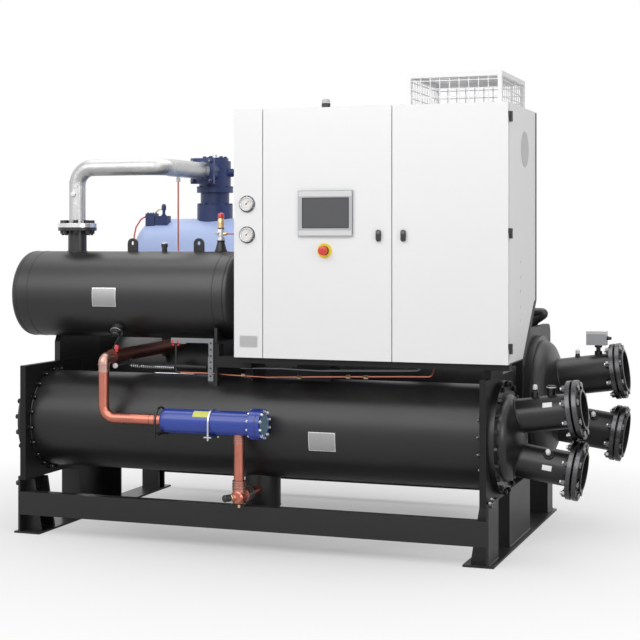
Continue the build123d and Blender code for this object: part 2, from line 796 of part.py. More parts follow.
def front_nodes():
    """What stands on the cabinet, and the doors with all that they carry."""
    nodes = {}
    nodes["gauge_panel"] = gauge_panel()
    nodes["gauges"] = gauge(gauge_z[0]) + gauge(gauge_z[1])
    nodes["cabinet_frame"] = cabinet_frame()
    nodes["cage"] = cage()
    nodes["cage_mesh"] = cage_mesh()
    nodes["left_door"] = door(seam_x[0] + door_gap / 2, seam_x[1] - door_gap / 2)
    nodes["right_door"] = door(seam_x[1] + door_gap / 2, cabinet_x[1])
    nodes["touch_screen"] = touch_screen()
    nodes["stop_collar"] = stop_collar()
    nodes["stop_button"] = stop_button()
    nodes["left_door_lock"] = door_lock(lock_x[0])
    nodes["right_door_lock"] = door_lock(lock_x[1])
    nodes["right_door_knuckles"] = side_hinges(True)
    nodes["cabinet_hinges"] = side_hinges(False)
    return nodes


def build():
    nodes = base_nodes()
    nodes |= vessel_nodes(
        "condenser", condenser_y, condenser_z, condenser_r, condenser_sheet, 0,
        condenser_head, condenser_ring_r, condenser_nozzle_r, condenser_nozzle_z, condenser_flange,
        condenser_reach,
    )
    nodes |= vessel_nodes(
        "evaporator", evaporator_y, evaporator_z, evaporator_r, evaporator_sheet, evaporator_corner_r,
        evaporator_head, evaporator_ring_r, evaporator_nozzle_r, evaporator_nozzle_z, evaporator_flange,
        evaporator_reach,
    )
    nodes |= separator_nodes()
    nodes |= machine_nodes()
    nodes |= cabinet_sheets()
    nodes |= front_nodes()
    return nodes


def centred(nodes):
    """Move everything so that the origin is the middle of the whole machine's footprint."""
    boxes = [piece.bounding_box() for piece in nodes.values()]
    middle_x = (min(box.min.X for box in boxes) + max(box.max.X for box in boxes)) / 2
    middle_y = (min(box.min.Y for box in boxes) + max(box.max.Y for box in boxes)) / 2
    shift = Pos(-middle_x, -middle_y, 0)
    return {name: shift * piece for name, piece in nodes.items()}, shift.position


nodes, shift = centred(build())
os.makedirs("parts", exist_ok=True)
for name, piece in nodes.items():
    export_step(piece, f"parts/{name}.step")
print("origin moved by", shift)
print("nodes", len(nodes))
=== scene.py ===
"""Finishes and small fittings of a water-cooled screw chiller, on the solids of its frame."""
import json
import math
import random

import bmesh
import bpy
from bpy.props import FloatProperty, FloatVectorProperty, IntProperty, PointerProperty
from bpy.types import Operator, Panel, PropertyGroup
from mathutils import Matrix, Vector
from mathutils.bvhtree import BVHTree


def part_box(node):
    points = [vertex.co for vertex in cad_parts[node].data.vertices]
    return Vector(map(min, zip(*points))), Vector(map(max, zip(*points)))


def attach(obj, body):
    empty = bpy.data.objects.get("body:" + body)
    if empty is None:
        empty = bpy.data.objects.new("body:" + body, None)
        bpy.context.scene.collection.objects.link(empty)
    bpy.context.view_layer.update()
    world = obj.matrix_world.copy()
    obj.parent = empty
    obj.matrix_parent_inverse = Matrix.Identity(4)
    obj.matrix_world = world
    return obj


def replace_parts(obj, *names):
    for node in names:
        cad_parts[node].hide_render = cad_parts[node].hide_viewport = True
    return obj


bl_info = {
    "name": "Screw Chiller Fittings",
    "version": (1, 0, 0),
    "blender": (4, 5, 0),
    "location": "View3D > Sidebar > Chiller",
    "description": "Paint, lagging, bolts, gauges, valves and thin tubes of a screw chiller",
    "category": "Object",
}

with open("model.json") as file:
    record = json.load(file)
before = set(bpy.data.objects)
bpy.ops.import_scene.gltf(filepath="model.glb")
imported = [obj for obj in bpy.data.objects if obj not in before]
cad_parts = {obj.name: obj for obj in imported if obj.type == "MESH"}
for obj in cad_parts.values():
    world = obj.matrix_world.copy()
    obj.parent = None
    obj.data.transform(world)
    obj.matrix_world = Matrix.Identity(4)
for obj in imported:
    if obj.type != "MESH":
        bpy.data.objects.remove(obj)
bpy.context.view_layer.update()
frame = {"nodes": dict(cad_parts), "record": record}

MM = 0.001
SMOOTH_ANGLE = math.radians(32)
X_AXIS = Vector((1, 0, 0))
Y_AXIS = Vector((0, 1, 0))
Z_AXIS = Vector((0, 0, 1))
FRONT = -Y_AXIS


# Places: every size below is in millimetres from the middle of the base, on the floor

def base_middle():
    """The middle of the base, in the frame's metres."""
    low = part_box("left_foot")[0]
    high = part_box("right_foot")[1]
    return Vector(((low.x + high.x) / 2, (low.y + high.y) / 2, 0))


BASE = base_middle()
TO_FRAME = Matrix.Translation(BASE) @ Matrix.Scale(MM, 4)

# Outer radius of the water nozzles of each shell
WATER_PIPE = {"condenser": 84.15, "evaporator": 101.5}
# The liquid line: its depth, its riser, its drier's level, its drop and the inside of its rings
LIQUID_Y = -830
RISER_X = -741
DRIER_Z = 632
DROP_X = 9
TUBE_SKIN = 26
# The discharge pipe: its level, its valve over the compressor, and its wrapped radius
DISCHARGE_Z = 1931
VALVE_X, VALVE_Y = -603, 270
FOIL_RADIUS = 43.4
# Middle line of the separator
SEPARATOR_Y = -450


def spans(node):
    """Lowest and highest corner of a frame node."""
    low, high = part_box(node)
    return (low - BASE) / MM, (high - BASE) / MM


def middle(node):
    low, high = spans(node)
    return (low + high) / 2


def mount_spot(mount):
    return (Vector(mount["pos_m"]) - BASE) / MM, Vector(mount["axis"])


def water_mounts():
    """The frame's mounts for water pipes, which are bolt patterns."""
    return [mount for mount in frame["record"]["mounts"] if mount["kind"] == "bolt_pattern"]


def at(x, y, z, axis=Z_AXIS):
    """A place whose Z points along an axis and whose Y is as near upright as it can be."""
    ahead = Vector(axis).normalized()
    up = Y_AXIS if abs(ahead.z) > 0.9 else Z_AXIS
    right = up.cross(ahead).normalized()
    turn = Matrix((right, ahead.cross(right), ahead)).transposed().to_4x4()
    return Matrix.Translation((x, y, z)) @ turn


def raised(place, height):
    """A place moved along its own Z."""
    return place @ Matrix.Translation((0, 0, height))


def round_about(place, radius, count, start=0.0):
    """Places evenly round another place's Z, at a radius."""
    for i in range(count):
        turn = Matrix.Rotation(math.radians(start) + i * math.tau / count, 4, "Z")
        yield place @ turn @ Matrix.Translation((radius, 0, 0))


def four_corners(wide, tall):
    """Steps from the middle of a rectangle to its four corners."""
    return [(x, y) for x in (-wide, wide) for y in (-tall, tall)]


# Shapes

def hexagon_profile(radius, height, chamfer=0.12):
    """Side of a nut or bolt head from its seat up, with the chamfer on top."""
    cut = radius * chamfer
    return [(0, 0), (radius, 0), (radius, height - cut), (radius - cut, height), (0, height)]


def disc_profile(radius, height, edge=0.0):
    return [(0, 0), (radius, 0), (radius, height - edge), (radius - edge, height), (0, height)]


def ring_profile(inner, outer, height, edge=0.0):
    """A closed ring, to be turned with joined ends."""
    return [
        (inner, 0), (outer, 0), (outer, height - edge),
        (outer - edge, height), (inner + edge, height), (inner, height - edge),
    ]


def arc_points(centre, radius, start, end, steps):
    """Points on an arc in a plane, with the angles in degrees."""
    angles = [math.radians(start + (end - start) * i / steps) for i in range(steps + 1)]
    return [(centre[0] + radius * math.cos(a), centre[1] + radius * math.sin(a)) for a in angles]


def rounded_box_outline(width, height, radius, steps=5):
    """Outline of a flat shape with round corners about its middle."""
    points = []
    for i, (sx, sy) in enumerate(((1, 1), (-1, 1), (-1, -1), (1, -1))):
        centre = (sx * (width / 2 - radius), sy * (height / 2 - radius))
        points += arc_points(centre, radius, 90 * i, 90 * (i + 1), steps)
    return points


def rounded_path(corners, bend, steps=6):
    """Points along a run of straight pieces whose corners are rounded."""
    corners = [Vector(p) for p in corners]
    path = [corners[0]]
    for before, corner, after in zip(corners, corners[1:], corners[2:]):
        back = before - corner
        ahead = after - corner
        half = back.angle(ahead) / 2
        cut = min(bend / max(math.tan(half), 0.05), 0.48 * back.length, 0.48 * ahead.length)
        start = corner + back.normalized() * cut
        end = corner + ahead.normalized() * cut
        for i in range(steps + 1):
            t = i / steps
            path.append(start * (1 - t) ** 2 + corner * 2 * t * (1 - t) + end * t * t)
    path.append(corners[-1])
    return path


class Piece:
    """One mesh made of many small solids, each with its own finish."""

    def __init__(self, name):
        self.name = name
        self.mesh = bmesh.new()
        self.finishes = []

    def _dress(self, faces, finish):
        if finish not in self.finishes:
            self.finishes.append(finish)
        for face in faces:
            face.material_index = self.finishes.index(finish)
            face.smooth = True

    def _ease(self, faces, finish, bevel):
        edges = list({edge for face in faces for edge in face.edges})
        made = bmesh.ops.bevel(
            self.mesh, geom=edges, offset=bevel, segments=2, affect="EDGES", clamp_overlap=True
        )
        self._dress(made["faces"], finish)

    def _band(self, low, high):
        count = max(len(low), len(high))
        faces = []
        for i in range(count):
            j = (i + 1) % count
            corners = [low[i % len(low)], low[j % len(low)], high[j % len(high)], high[i % len(high)]]
            unique = list(dict.fromkeys(corners))
            if len(unique) > 2:
                faces.append(self.mesh.faces.new(unique))
        return faces

    def lathe(self, place, profile, finish, sides=28, closed=False):
        """Turns (radius, height) points about the place's Z."""
        turns = [i * math.tau / sides for i in range(sides)]
        rings = []
        for radius, height in profile:
            if radius < 1e-6:
                points = [Vector((0, 0, height))]
            else:
                points = [Vector((radius * math.cos(a), radius * math.sin(a), height)) for a in turns]
            rings.append([self.mesh.verts.new(place @ p) for p in points])
        pairs = list(zip(rings, rings[1:]))
        if closed:
            pairs.append((rings[-1], rings[0]))
        faces = [face for low, high in pairs for face in self._band(low, high)]
        self._dress(faces, finish)
        bmesh.ops.recalc_face_normals(self.mesh, faces=faces)

    def ring(self, place, inner, outer, height, edge, finish, sides):
        self.lathe(place, ring_profile(inner, outer, height, edge), finish, sides, closed=True)

    def disc(self, place, radius, height, edge, finish, sides):
        self.lathe(place, disc_profile(radius, height, edge), finish, sides)

    def hexagon(self, place, radius, height, finish, chamfer=0.12):
        self.lathe(place, hexagon_profile(radius, height, chamfer), finish, 6)

    def turned(self, place, *parts):
        """Turns several (profile, finish, sides) about one place."""
        for profile, finish, sides in parts:
            self.lathe(place, profile, finish, sides)

    def prism(self, place, outline, depth, finish, bevel=0.0):
        """Pushes a flat outline along the place's Z, with its edges eased by a bevel."""
        low = [self.mesh.verts.new(place @ Vector((x, y, 0))) for x, y in outline]
        high = [self.mesh.verts.new(place @ Vector((x, y, depth))) for x, y in outline]
        faces = self._band(low, high)
        faces.append(self.mesh.faces.new(list(reversed(low))))
        faces.append(self.mesh.faces.new(high))
        bmesh.ops.recalc_face_normals(self.mesh, faces=faces)
        self._dress(faces, finish)
        if bevel:
            self._ease(faces[-2:], finish, bevel)

    def pad(self, place, size, depth, finish, bevel=0.0):
        """A flat plate. size is its width, its height, its corner radius and the steps of a corner."""
        self.prism(place, rounded_box_outline(*size), depth, finish, bevel)

    def block(self, low, high, finish, bevel=0.0):
        """A box between two corners, with all its edges eased."""
        low, high = Vector(low), Vector(high)
        size = Matrix.Diagonal((*(high - low), 1))
        made = bmesh.ops.create_cube(self.mesh, size=1, matrix=Matrix.Translation((low + high) / 2) @ size)
        faces = list({face for vert in made["verts"] for face in vert.link_faces})
        self._dress(faces, finish)
        if bevel:
            self._ease(faces, finish, bevel)

    def tube(self, path, radius, finish, sides=12, swell=None):
        """A round bar along points. swell gives the radius at each point as a share."""
        path = [Vector(p) for p in path]
        side = (path[1] - path[0]).orthogonal().normalized()
        turns = [k * math.tau / sides for k in range(sides)]
        rings = []
        for i, point in enumerate(path):
            ahead = (path[min(i + 1, len(path) - 1)] - path[max(i - 1, 0)]).normalized()
            side = (side - ahead * side.dot(ahead)).normalized()
            up = ahead.cross(side)
            r = radius * (swell(i / (len(path) - 1)) if swell else 1)
            points = [point + (side * math.cos(a) + up * math.sin(a)) * r for a in turns]
            rings.append([self.mesh.verts.new(p) for p in points])
        faces = [face for low, high in zip(rings, rings[1:]) for face in self._band(low, high)]
        faces.append(self.mesh.faces.new(list(reversed(rings[0]))))
        faces.append(self.mesh.faces.new(rings[-1]))
        bmesh.ops.recalc_face_normals(self.mesh, faces=faces)
        self._dress(faces, finish)

    def place(self, body, slot=None):
        """Makes the object, in the frame's metres, and lets it ride on a body."""
        data = bpy.data.meshes.new(self.name)
        self.mesh.to_mesh(data)
        self.mesh.free()
        data.transform(TO_FRAME)
        for finish in self.finishes:
            data.materials.append(finishes[finish])
        data.set_sharp_from_angle(angle=SMOOTH_ANGLE)
        piece = bpy.data.objects.new(self.name, data)
        bpy.context.scene.collection.objects.link(piece)
        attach(piece, body)
        return piece


def hex_nut(piece, place, size, finish, stud=0.0, washer=True, stud_finish="zinc", tall=0.55):
    """A nut on a washer, with the end of its stud standing out. size is across flats, tall its share."""
    seat = 0.0
    if washer:
        piece.disc(place, size * 0.62, size * 0.1, size * 0.03, finish, 18)
        seat = size * 0.1
    up = raised(place, seat)
    piece.hexagon(up, size / math.sqrt(3), size * tall, finish)
    if stud:
        top = raised(up, size * tall * 0.9)
        piece.disc(top, size * 0.3, stud + size * 0.05, size * 0.06, stud_finish, 12)


def nuts(piece, places, size, finish, **more):
    for place in places:
        hex_nut(piece, place, size, finish, **more)


def curved_plate(piece, place, radius, length, angles, thick, finish, steps=14, sunk=0.5):
    """A thin plate bent round a cylinder along the place's Z. Angles are in degrees up from its front."""
    arc = [math.radians(angles[0] + (angles[1] - angles[0]) * i / steps) for i in range(steps + 1)]
    outer = [(-(radius + thick) * math.cos(a), (radius + thick) * math.sin(a)) for a in arc]
    inner = [(-(radius - sunk) * math.cos(a), (radius - sunk) * math.sin(a)) for a in reversed(arc)]
    piece.prism(place, outer + inner, length, finish)


class Surface:
    """Finds points on frame nodes by sending rays."""

    def __init__(self, *nodes):
        self.trees = []
        for node in nodes:
            solid = frame["nodes"][node]
            points = [(solid.matrix_world @ v.co - BASE) / MM for v in solid.data.vertices]
            faces = [tuple(face.vertices) for face in solid.data.polygons]
            self.trees.append(BVHTree.FromPolygons(points, faces))

    def hit(self, start, direction, reach=4000):
        """The nearest point that a ray meets, or a plain error where it meets nothing."""
        found = [tree.ray_cast(Vector(start), direction, reach) for tree in self.trees]
        found = [hit for hit in found if hit[0] is not None]
        if not found:
            raise RuntimeError(f"nothing lies ahead of {tuple(start)}")
        return min(found, key=lambda hit: hit[3])[0]


# Shader effects that several finishes share

class Graph:
    """Adds shader nodes to a tree and joins them."""

    def __init__(self, tree):
        self.tree = tree

    def join(self, value, socket):
        if isinstance(value, bpy.types.NodeSocket):
            self.tree.links.new(value, socket)
        else:
            socket.default_value = value

    def add(self, kind, inputs=(), **settings):
        """inputs is a list of (socket name or number, value or other socket)."""
        node = self.tree.nodes.new("ShaderNode" + kind)
        for name, value in settings.items():
            setattr(node, name, value)
        for name, value in inputs:
            self.join(value, node.inputs[name])
        return node

    def math(self, operation, a, b=0.0, clamp=False):
        return self.add("Math", [(0, a), (1, b)], operation=operation, use_clamp=clamp).outputs[0]

    def mix(self, factor, a, b):
        """Mixes two colours."""
        return self.add("Mix", [(0, factor), (6, a), (7, b)], data_type="RGBA").outputs[2]

    def spread(self, value, low, high, to_low=0.0, to_high=1.0):
        """Maps a value from one span to another, held at its ends."""
        return self.add("MapRange", [(0, value), (1, low), (2, high), (3, to_low), (4, to_high)]).outputs[0]

    def noise(self, scale, detail=3.0, roughness=0.5):
        inputs = [("Vector", self.where()), ("Scale", scale), ("Detail", detail), ("Roughness", roughness)]
        return self.add("TexNoise", inputs).outputs[0]

    def where(self):
        return self.add("TexCoord").outputs["Object"]

    def group(self, name, inputs=()):
        node = self.add("Group", node_tree=bpy.data.node_groups[name])
        for label, value in inputs:
            self.join(value, node.inputs[label])
        return node.outputs

    def bump(self, shader, strength, distance, height, normal=None):
        inputs = [("Strength", strength), ("Distance", distance), ("Height", height)]
        if normal is not None:
            inputs.append(("Normal", normal))
        self.join(self.add("Bump", inputs).outputs[0], shader.inputs["Normal"])


def effect(name, inputs, outputs):
    """An empty node group with named sockets, as a graph with its input and output sockets."""
    tree = bpy.data.node_groups.new(name, "ShaderNodeTree")
    for label, default in inputs:
        socket = tree.interface.new_socket(name=label, in_out="INPUT", socket_type="NodeSocketFloat")
        socket.default_value = default
    for label, kind in outputs:
        tree.interface.new_socket(name=label, in_out="OUTPUT", socket_type="NodeSocket" + kind)
    entry = tree.nodes.new("NodeGroupInput").outputs
    leave = tree.nodes.new("NodeGroupOutput").inputs
    return Graph(tree), entry, leave


def build_orange_peel():
    """Fine pebbled height of sprayed paint, with slow waves under it."""
    graph, entry, leave = effect("Orange peel", [("Scale", 700.0), ("Waves", 0.3)], [("Height", "Float")])
    fine = graph.noise(entry["Scale"], 2.0)
    slow = graph.noise(graph.math("MULTIPLY", entry["Scale"], 0.03), 1.0)
    slow = graph.math("MULTIPLY", slow, entry["Waves"])
    graph.join(graph.math("ADD", fine, slow), leave["Height"])


def build_soft_edges():
    """Rounded normal at sharp corners, and a broken mask of worn corners."""
    graph, entry, leave = effect(
        "Soft edges", [("Radius", 0.0015), ("Wear", 0.3)], [("Normal", "Vector"), ("Worn", "Float")]
    )
    bevel = graph.add("Bevel", [("Radius", entry["Radius"])], samples=4).outputs[0]
    true_normal = graph.add("NewGeometry").outputs["Normal"]
    dot = graph.add("VectorMath", [(0, bevel), (1, true_normal)], operation="DOT_PRODUCT").outputs["Value"]
    corner = graph.spread(dot, 0.995, 0.8)
    broken = graph.spread(graph.noise(90.0, 5.0, 0.65), 0.5, 0.62)
    worn = graph.math("MULTIPLY", corner, broken)
    graph.join(graph.math("MULTIPLY", worn, entry["Wear"]), leave["Worn"])
    graph.join(bevel, leave["Normal"])


def build_settled_dust():
    """Mask of thin dust on what faces up, thicker in patches."""
    graph, entry, leave = effect("Settled dust", [("Amount", 0.15)], [("Mask", "Float")])
    normal = graph.add("NewGeometry").outputs["Normal"]
    facing = graph.spread(graph.add("SeparateXYZ", [(0, normal)]).outputs["Z"], 0.25, 0.95)
    patches = graph.spread(graph.noise(14.0, 6.0, 0.7), 0.3, 0.75)
    grain = graph.spread(graph.noise(420.0, 2.0), 0.35, 0.7, 0.5, 1.0)
    mask = graph.math("MULTIPLY", graph.math("MULTIPLY", facing, patches), grain)
    graph.join(graph.math("MULTIPLY", mask, entry["Amount"]), leave["Mask"])


def build_tone_drift():
    """Slow and quick changes of tone over a surface, as a value about one half."""
    graph, entry, leave = effect("Tone drift", [("Scale", 5.0), ("Contrast", 1.0)], [("Tone", "Float")])
    slow = graph.noise(entry["Scale"], 4.0, 0.6)
    quick = graph.noise(graph.math("MULTIPLY", entry["Scale"], 12.0), 3.0, 0.6)
    both = graph.math("ADD", graph.math("MULTIPLY", slow, 0.7), graph.math("MULTIPLY", quick, 0.3))
    swing = graph.math("MULTIPLY", graph.math("SUBTRACT", both, 0.5), entry["Contrast"])
    graph.join(graph.math("ADD", swing, 0.5, clamp=True), leave["Tone"])


# Finishes

finishes = {}
DUST = (0.32, 0.31, 0.29, 1)
BARE_STEEL = (0.35, 0.35, 0.36, 1)


def colour(rgb, share=1.0):
    return (rgb[0] * share, rgb[1] * share, rgb[2] * share, 1.0)


def start_finish(name):
    """A new material with its graph and its main shader."""
    material = bpy.data.materials.new(name)
    material.use_nodes = True
    finishes[name] = material
    shader = next(node for node in material.node_tree.nodes if node.type == "BSDF_PRINCIPLED")
    return Graph(material.node_tree), shader


def toned(graph, rgb, scale, contrast, drift):
    """Uneven tone over a finish, and its colour that follows the tone."""
    tone = graph.group("Tone drift", [("Scale", scale), ("Contrast", contrast)])["Tone"]
    return tone, graph.mix(tone, colour(rgb, 1 - drift), colour(rgb, 1 + drift))


def paint(name, rgb, rough=0.4, peel=(700.0, 0.03), drift=0.12, dust=0.1, wear=0.0,
          specular=0.5, radius=0.0015, coat=0.0):
    """Sprayed paint: pebbled skin, slow changes of tone, dust on top and worn corners."""
    graph, shader = start_finish(name)
    tone, skin = toned(graph, rgb, 3.0, 1.6, drift)
    edges = graph.group("Soft edges", [("Radius", radius), ("Wear", wear)])
    dusty = graph.group("Settled dust", [("Amount", dust)])["Mask"]
    skin = graph.mix(dusty, skin, DUST)
    if wear:
        skin = graph.mix(edges["Worn"], skin, BARE_STEEL)
    graph.join(skin, shader.inputs["Base Color"])
    rough_drift = graph.spread(tone, 0.0, 1.0, rough - 0.05, rough + 0.06)
    rough_dust = graph.math("MULTIPLY", dusty, 0.5)
    graph.join(graph.math("ADD", rough_drift, rough_dust, clamp=True), shader.inputs["Roughness"])
    pebble, strength = peel
    height = graph.group("Orange peel", [("Scale", pebble)])["Height"]
    graph.bump(shader, strength, 0.002, height, edges["Normal"])
    shader.inputs["Specular IOR Level"].default_value = specular
    shader.inputs["Coat Weight"].default_value = coat
    shader.inputs["Coat Roughness"].default_value = 0.12


def metal(name, rgb, rough=0.3, drift=0.15, scratch=0.05, spots=0.0, spot_rgb=(0.2, 0.12, 0.08)):
    """Bare metal with uneven tone, fine scratches and spots of tarnish."""
    graph, shader = start_finish(name)
    tone, skin = toned(graph, rgb, 9.0, 2.0, drift)
    if spots:
        mask = graph.spread(graph.noise(38.0, 6.0, 0.7), 0.56, 0.7, 0.0, spots)
        skin = graph.mix(mask, skin, colour(spot_rgb))
    graph.join(skin, shader.inputs["Base Color"])
    shader.inputs["Metallic"].default_value = 1.0
    graph.join(graph.spread(tone, 0.0, 1.0, rough - 0.08, rough + 0.1), shader.inputs["Roughness"])
    edges = graph.group("Soft edges", [("Radius", 0.0008), ("Wear", 0.0)])
    graph.bump(shader, scratch, 0.001, graph.noise(900.0, 3.0, 0.7), edges["Normal"])
    return graph, shader


def plastic(name, rgb, rough=0.35, grain=0.02, coat=0.0):
    """Moulded plastic with a faint grain."""
    graph, shader = start_finish(name)
    tone, skin = toned(graph, rgb, 20.0, 1.0, 0.07)
    graph.join(skin, shader.inputs["Base Color"])
    graph.join(graph.spread(tone, 0.0, 1.0, rough - 0.04, rough + 0.05), shader.inputs["Roughness"])
    graph.bump(shader, grain, 0.0008, graph.noise(1600.0, 2.0))
    shader.inputs["Coat Weight"].default_value = coat


def foil():
    """Thin metal sheet wrapped over insulation, with soft dents and a few creases."""
    graph, shader = start_finish("foil")
    tone = graph.group("Tone drift", [("Scale", 4.0), ("Contrast", 1.6)])["Tone"]
    graph.join(graph.mix(tone, (0.42, 0.42, 0.42, 1), (0.62, 0.62, 0.615, 1)), shader.inputs["Base Color"])
    shader.inputs["Metallic"].default_value = 0.85
    graph.join(graph.spread(tone, 0.0, 1.0, 0.26, 0.42), shader.inputs["Roughness"])
    bend = graph.noise(9.0, 3.0, 0.5)
    shrunk = [(0, graph.where()), (1, (0.6, 0.6, 0.6)), (2, bend)]
    warped = graph.add("VectorMath", shrunk, operation="MULTIPLY_ADD").outputs[0]
    cells = [("Vector", warped), ("Scale", 13.0), ("Randomness", 1.0)]
    creases = graph.add("TexVoronoi", cells, feature="DISTANCE_TO_EDGE").outputs["Distance"]
    folds = graph.spread(creases, 0.0, 0.12)
    height = graph.math("ADD", graph.math("MULTIPLY", folds, 0.12), bend)
    graph.bump(shader, 0.3, 0.012, height)


def clamp_finish():
    """Zinc on the right clamp of the drier and black paint on the left one."""
    graph, shader = metal("clamp_zinc", (0.66, 0.67, 0.69), rough=0.3, scratch=0.06)
    along = graph.add("SeparateXYZ", [(0, graph.where())]).outputs["X"]
    border = BASE.x + -275 * MM
    right = graph.spread(along, border - MM, border + MM)
    zinc = shader.inputs["Base Color"].links[0].from_socket
    graph.join(graph.mix(right, colour(paints().black), zinc), shader.inputs["Base Color"])
    graph.join(right, shader.inputs["Metallic"])


def build_finishes():
    p = paints()
    fine = (420.0, 0.05)
    soot = (0.03, 0.03, 0.03)
    paint("black_paint", p.black, 0.36, fine, 0.2, 0.08, wear=0.12)
    paint("matt_black", colour(p.black, 0.7), 0.5, fine, 0.2, 0.05, specular=0.3)
    paint("gloss_black", p.black, 0.29, (420.0, 0.03), 0.2, 0.05, wear=0.1, specular=0.55)
    paint("sheet_black", p.black, 0.42, fine, 0.2, 0.05, wear=0.1, specular=0.26)
    paint("black_lagging", p.lagging, 0.36, (260.0, 0.03), 0.2, 0.06, specular=0.62, radius=0.004)
    paint("rim_black", p.black, 0.3, (500.0, 0.03), 0.1, 0.05, wear=0.3, specular=0.45)
    paint("valve_blue", p.valve_blue, 0.36, (190.0, 0.12), 0.15, 0.03, wear=0.08, specular=0.4)
    paint("compressor_blue", p.compressor_blue, 0.36, (230.0, 0.08), 0.05, 0.03)
    paint("drier_blue", p.drier_blue, 0.22, (600.0, 0.03), 0.12, 0.03, coat=0.3)
    paint("cabinet_white", p.white, 0.42, (900.0, 0.035), 0.012, 0.02, radius=0.0018)
    paint("weld", colour(p.black, 1.3), 0.3, (300.0, 0.2), 0.25, 0.05)
    paint("disc_grey", (0.5, 0.5, 0.5), 0.4, (900.0, 0.03), 0.02, 0.02)
    paint("cover_blue", (0.17, 0.27, 0.36), 0.3, (600.0, 0.03), 0.08, 0.03)
    # Grey of the front plate, also used as the painted shadow round the white side plugs
    paint("grey_plate_and_painted_shadow", (0.48, 0.48, 0.48), 0.4, (900.0, 0.02), 0.03, 0.02)
    clamp_finish()
    foil()
    metal("zinc", (0.62, 0.63, 0.65), 0.34, scratch=0.08)
    metal("steel", (0.7, 0.7, 0.71), 0.24)
    metal("dark_steel", (0.16, 0.16, 0.165), 0.42, scratch=0.1)
    metal("copper", p.copper, 0.3, 0.16, 0.06, 0.35, (0.36, 0.11, 0.07))
    metal("brazed_copper", (0.5, 0.3, 0.26), 0.34, 0.3, 0.12, 0.7, (0.3, 0.08, 0.05))
    # Copper darkened as painted shade, with near-black spots, for the tube that runs back from the elbow
    metal("painted_shade_copper", colour(p.copper, 0.3), 0.5, 0.4, 0.1, 0.6, (0.03, 0.02, 0.02))
    metal("brass", (0.76, 0.56, 0.32), 0.28, 0.12)
    metal("rim_steel", (0.11, 0.11, 0.114), 0.26, spots=0.5, spot_rgb=soot)
    metal("bolt_steel", (0.2, 0.2, 0.205), 0.2, scratch=0.06, spots=0.6, spot_rgb=soot)
    metal("dull_zinc", (0.24, 0.25, 0.26), 0.36, scratch=0.08, spots=0.4, spot_rgb=(0.1, 0.1, 0.1))
    metal("black_steel", (0.045, 0.045, 0.048), 0.3)
    metal("braid", (0.2, 0.205, 0.21), 0.36, scratch=0.3)
    metal("label_plate", (0.38, 0.38, 0.385), 0.42, 0.1, 0.04)
    plastic("black_plastic", (0.025, 0.025, 0.027), 0.36)
    plastic("rubber", (0.02, 0.02, 0.021), 0.6, 0.08)
    plastic("red_plastic", (0.66, 0.035, 0.035), 0.25, coat=0.4)
    plastic("yellow_plastic", (0.88, 0.66, 0.03), 0.3, coat=0.2)
    plastic("label_yellow", (0.66, 0.68, 0.12))
    plastic("white_plastic", (0.8, 0.8, 0.79), 0.4)
    plastic("pale_plastic", (0.68, 0.68, 0.68), 0.4)
    plastic("grey_plastic", (0.46, 0.47, 0.49), 0.45, 0.04)
    plastic("tag_white", (0.93, 0.93, 0.93))
    plastic("dial_white", (0.84, 0.84, 0.82), 0.3, coat=0.6)
    plastic("ink_black", (0.02, 0.02, 0.02), 0.5)
    plastic("ink_red", (0.6, 0.04, 0.03), 0.5)
    plastic("screen_glass", (0.045, 0.047, 0.05), 0.12, 0.0, coat=1.0)


NODE_FINISH = {
    "black_paint": [
        "left_foot", "right_foot", "front_rail", "rear_rail", "condenser_shell", "condenser_sump",
        "separator_saddles", "lifting_lugs", "compressor_feet", "separator_ports", "evaporator_right_head",
        "evaporator_nozzles",
    ],
    "gloss_black": [
        "condenser_left_head", "condenser_right_head", "condenser_nozzles", "evaporator_left_head",
    ],
    "sheet_black": ["condenser_tubesheets", "evaporator_tubesheets"],
    "matt_black": ["cabinet_frame"],
    "black_lagging": [
        "evaporator_shell", "separator_shell", "separator_neck", "separator_ends", "suction_line",
    ],
    "rim_black": ["condenser_loose_flanges", "evaporator_loose_flanges"],
    "foil": ["discharge_pipe"],
    "valve_blue": ["discharge_valve", "compressor_ports"],
    "compressor_blue": ["compressor"],
    "copper": ["liquid_line", "liquid_drop", "angle_valve"],
    "drier_blue": ["filter_drier"],
    "cabinet_white": [
        "cabinet_sides", "cabinet_back", "cabinet_slope", "cabinet_top", "cabinet_bottom",
        "cabinet_centre_post", "gauge_panel", "left_door", "right_door", "cage", "cage_mesh",
    ],
    "zinc": ["mounting_plate"],
    "dull_zinc": ["pipe_strut"],
    "clamp_zinc": ["drier_clamps"],
    "brass": ["safety_valve"],
    "steel": ["gauges"],
    "grey_plastic": ["touch_screen", "flow_switch"],
    "yellow_plastic": ["stop_collar"],
    "red_plastic": ["stop_button"],
    "black_plastic": ["left_door_lock", "right_door_lock", "right_door_knuckles", "cabinet_hinges"],
}


# What a user may change

def swatch(name, description, default):
    return FloatVectorProperty(
        name=name, description=description, subtype="COLOR", size=3, min=0, max=1, default=default
    )


class ChillerPaints(PropertyGroup):
    """Colours of the painted and bare surfaces."""

    black: swatch("Black Paint", "Satin paint of the feet, shells and heads", (0.01, 0.0102, 0.0107))
    lagging: swatch("Lagging", "Skin of the foam insulation", (0.011, 0.011, 0.0115))
    compressor_blue: swatch("Compressor Blue", "Enamel of the compressor casing", (0.48, 0.6, 0.93))
    valve_blue: swatch("Valve Blue", "Paint of the discharge valve", (0.036, 0.056, 0.16))
    drier_blue: swatch("Drier Blue", "Powder coat of the filter drier", (0.02, 0.055, 0.36))
    white: swatch("Cabinet White", "Powder coat of the cabinet", (0.84, 0.84, 0.845))
    copper: swatch("Copper", "Tube of the liquid line", (0.57, 0.2, 0.145))


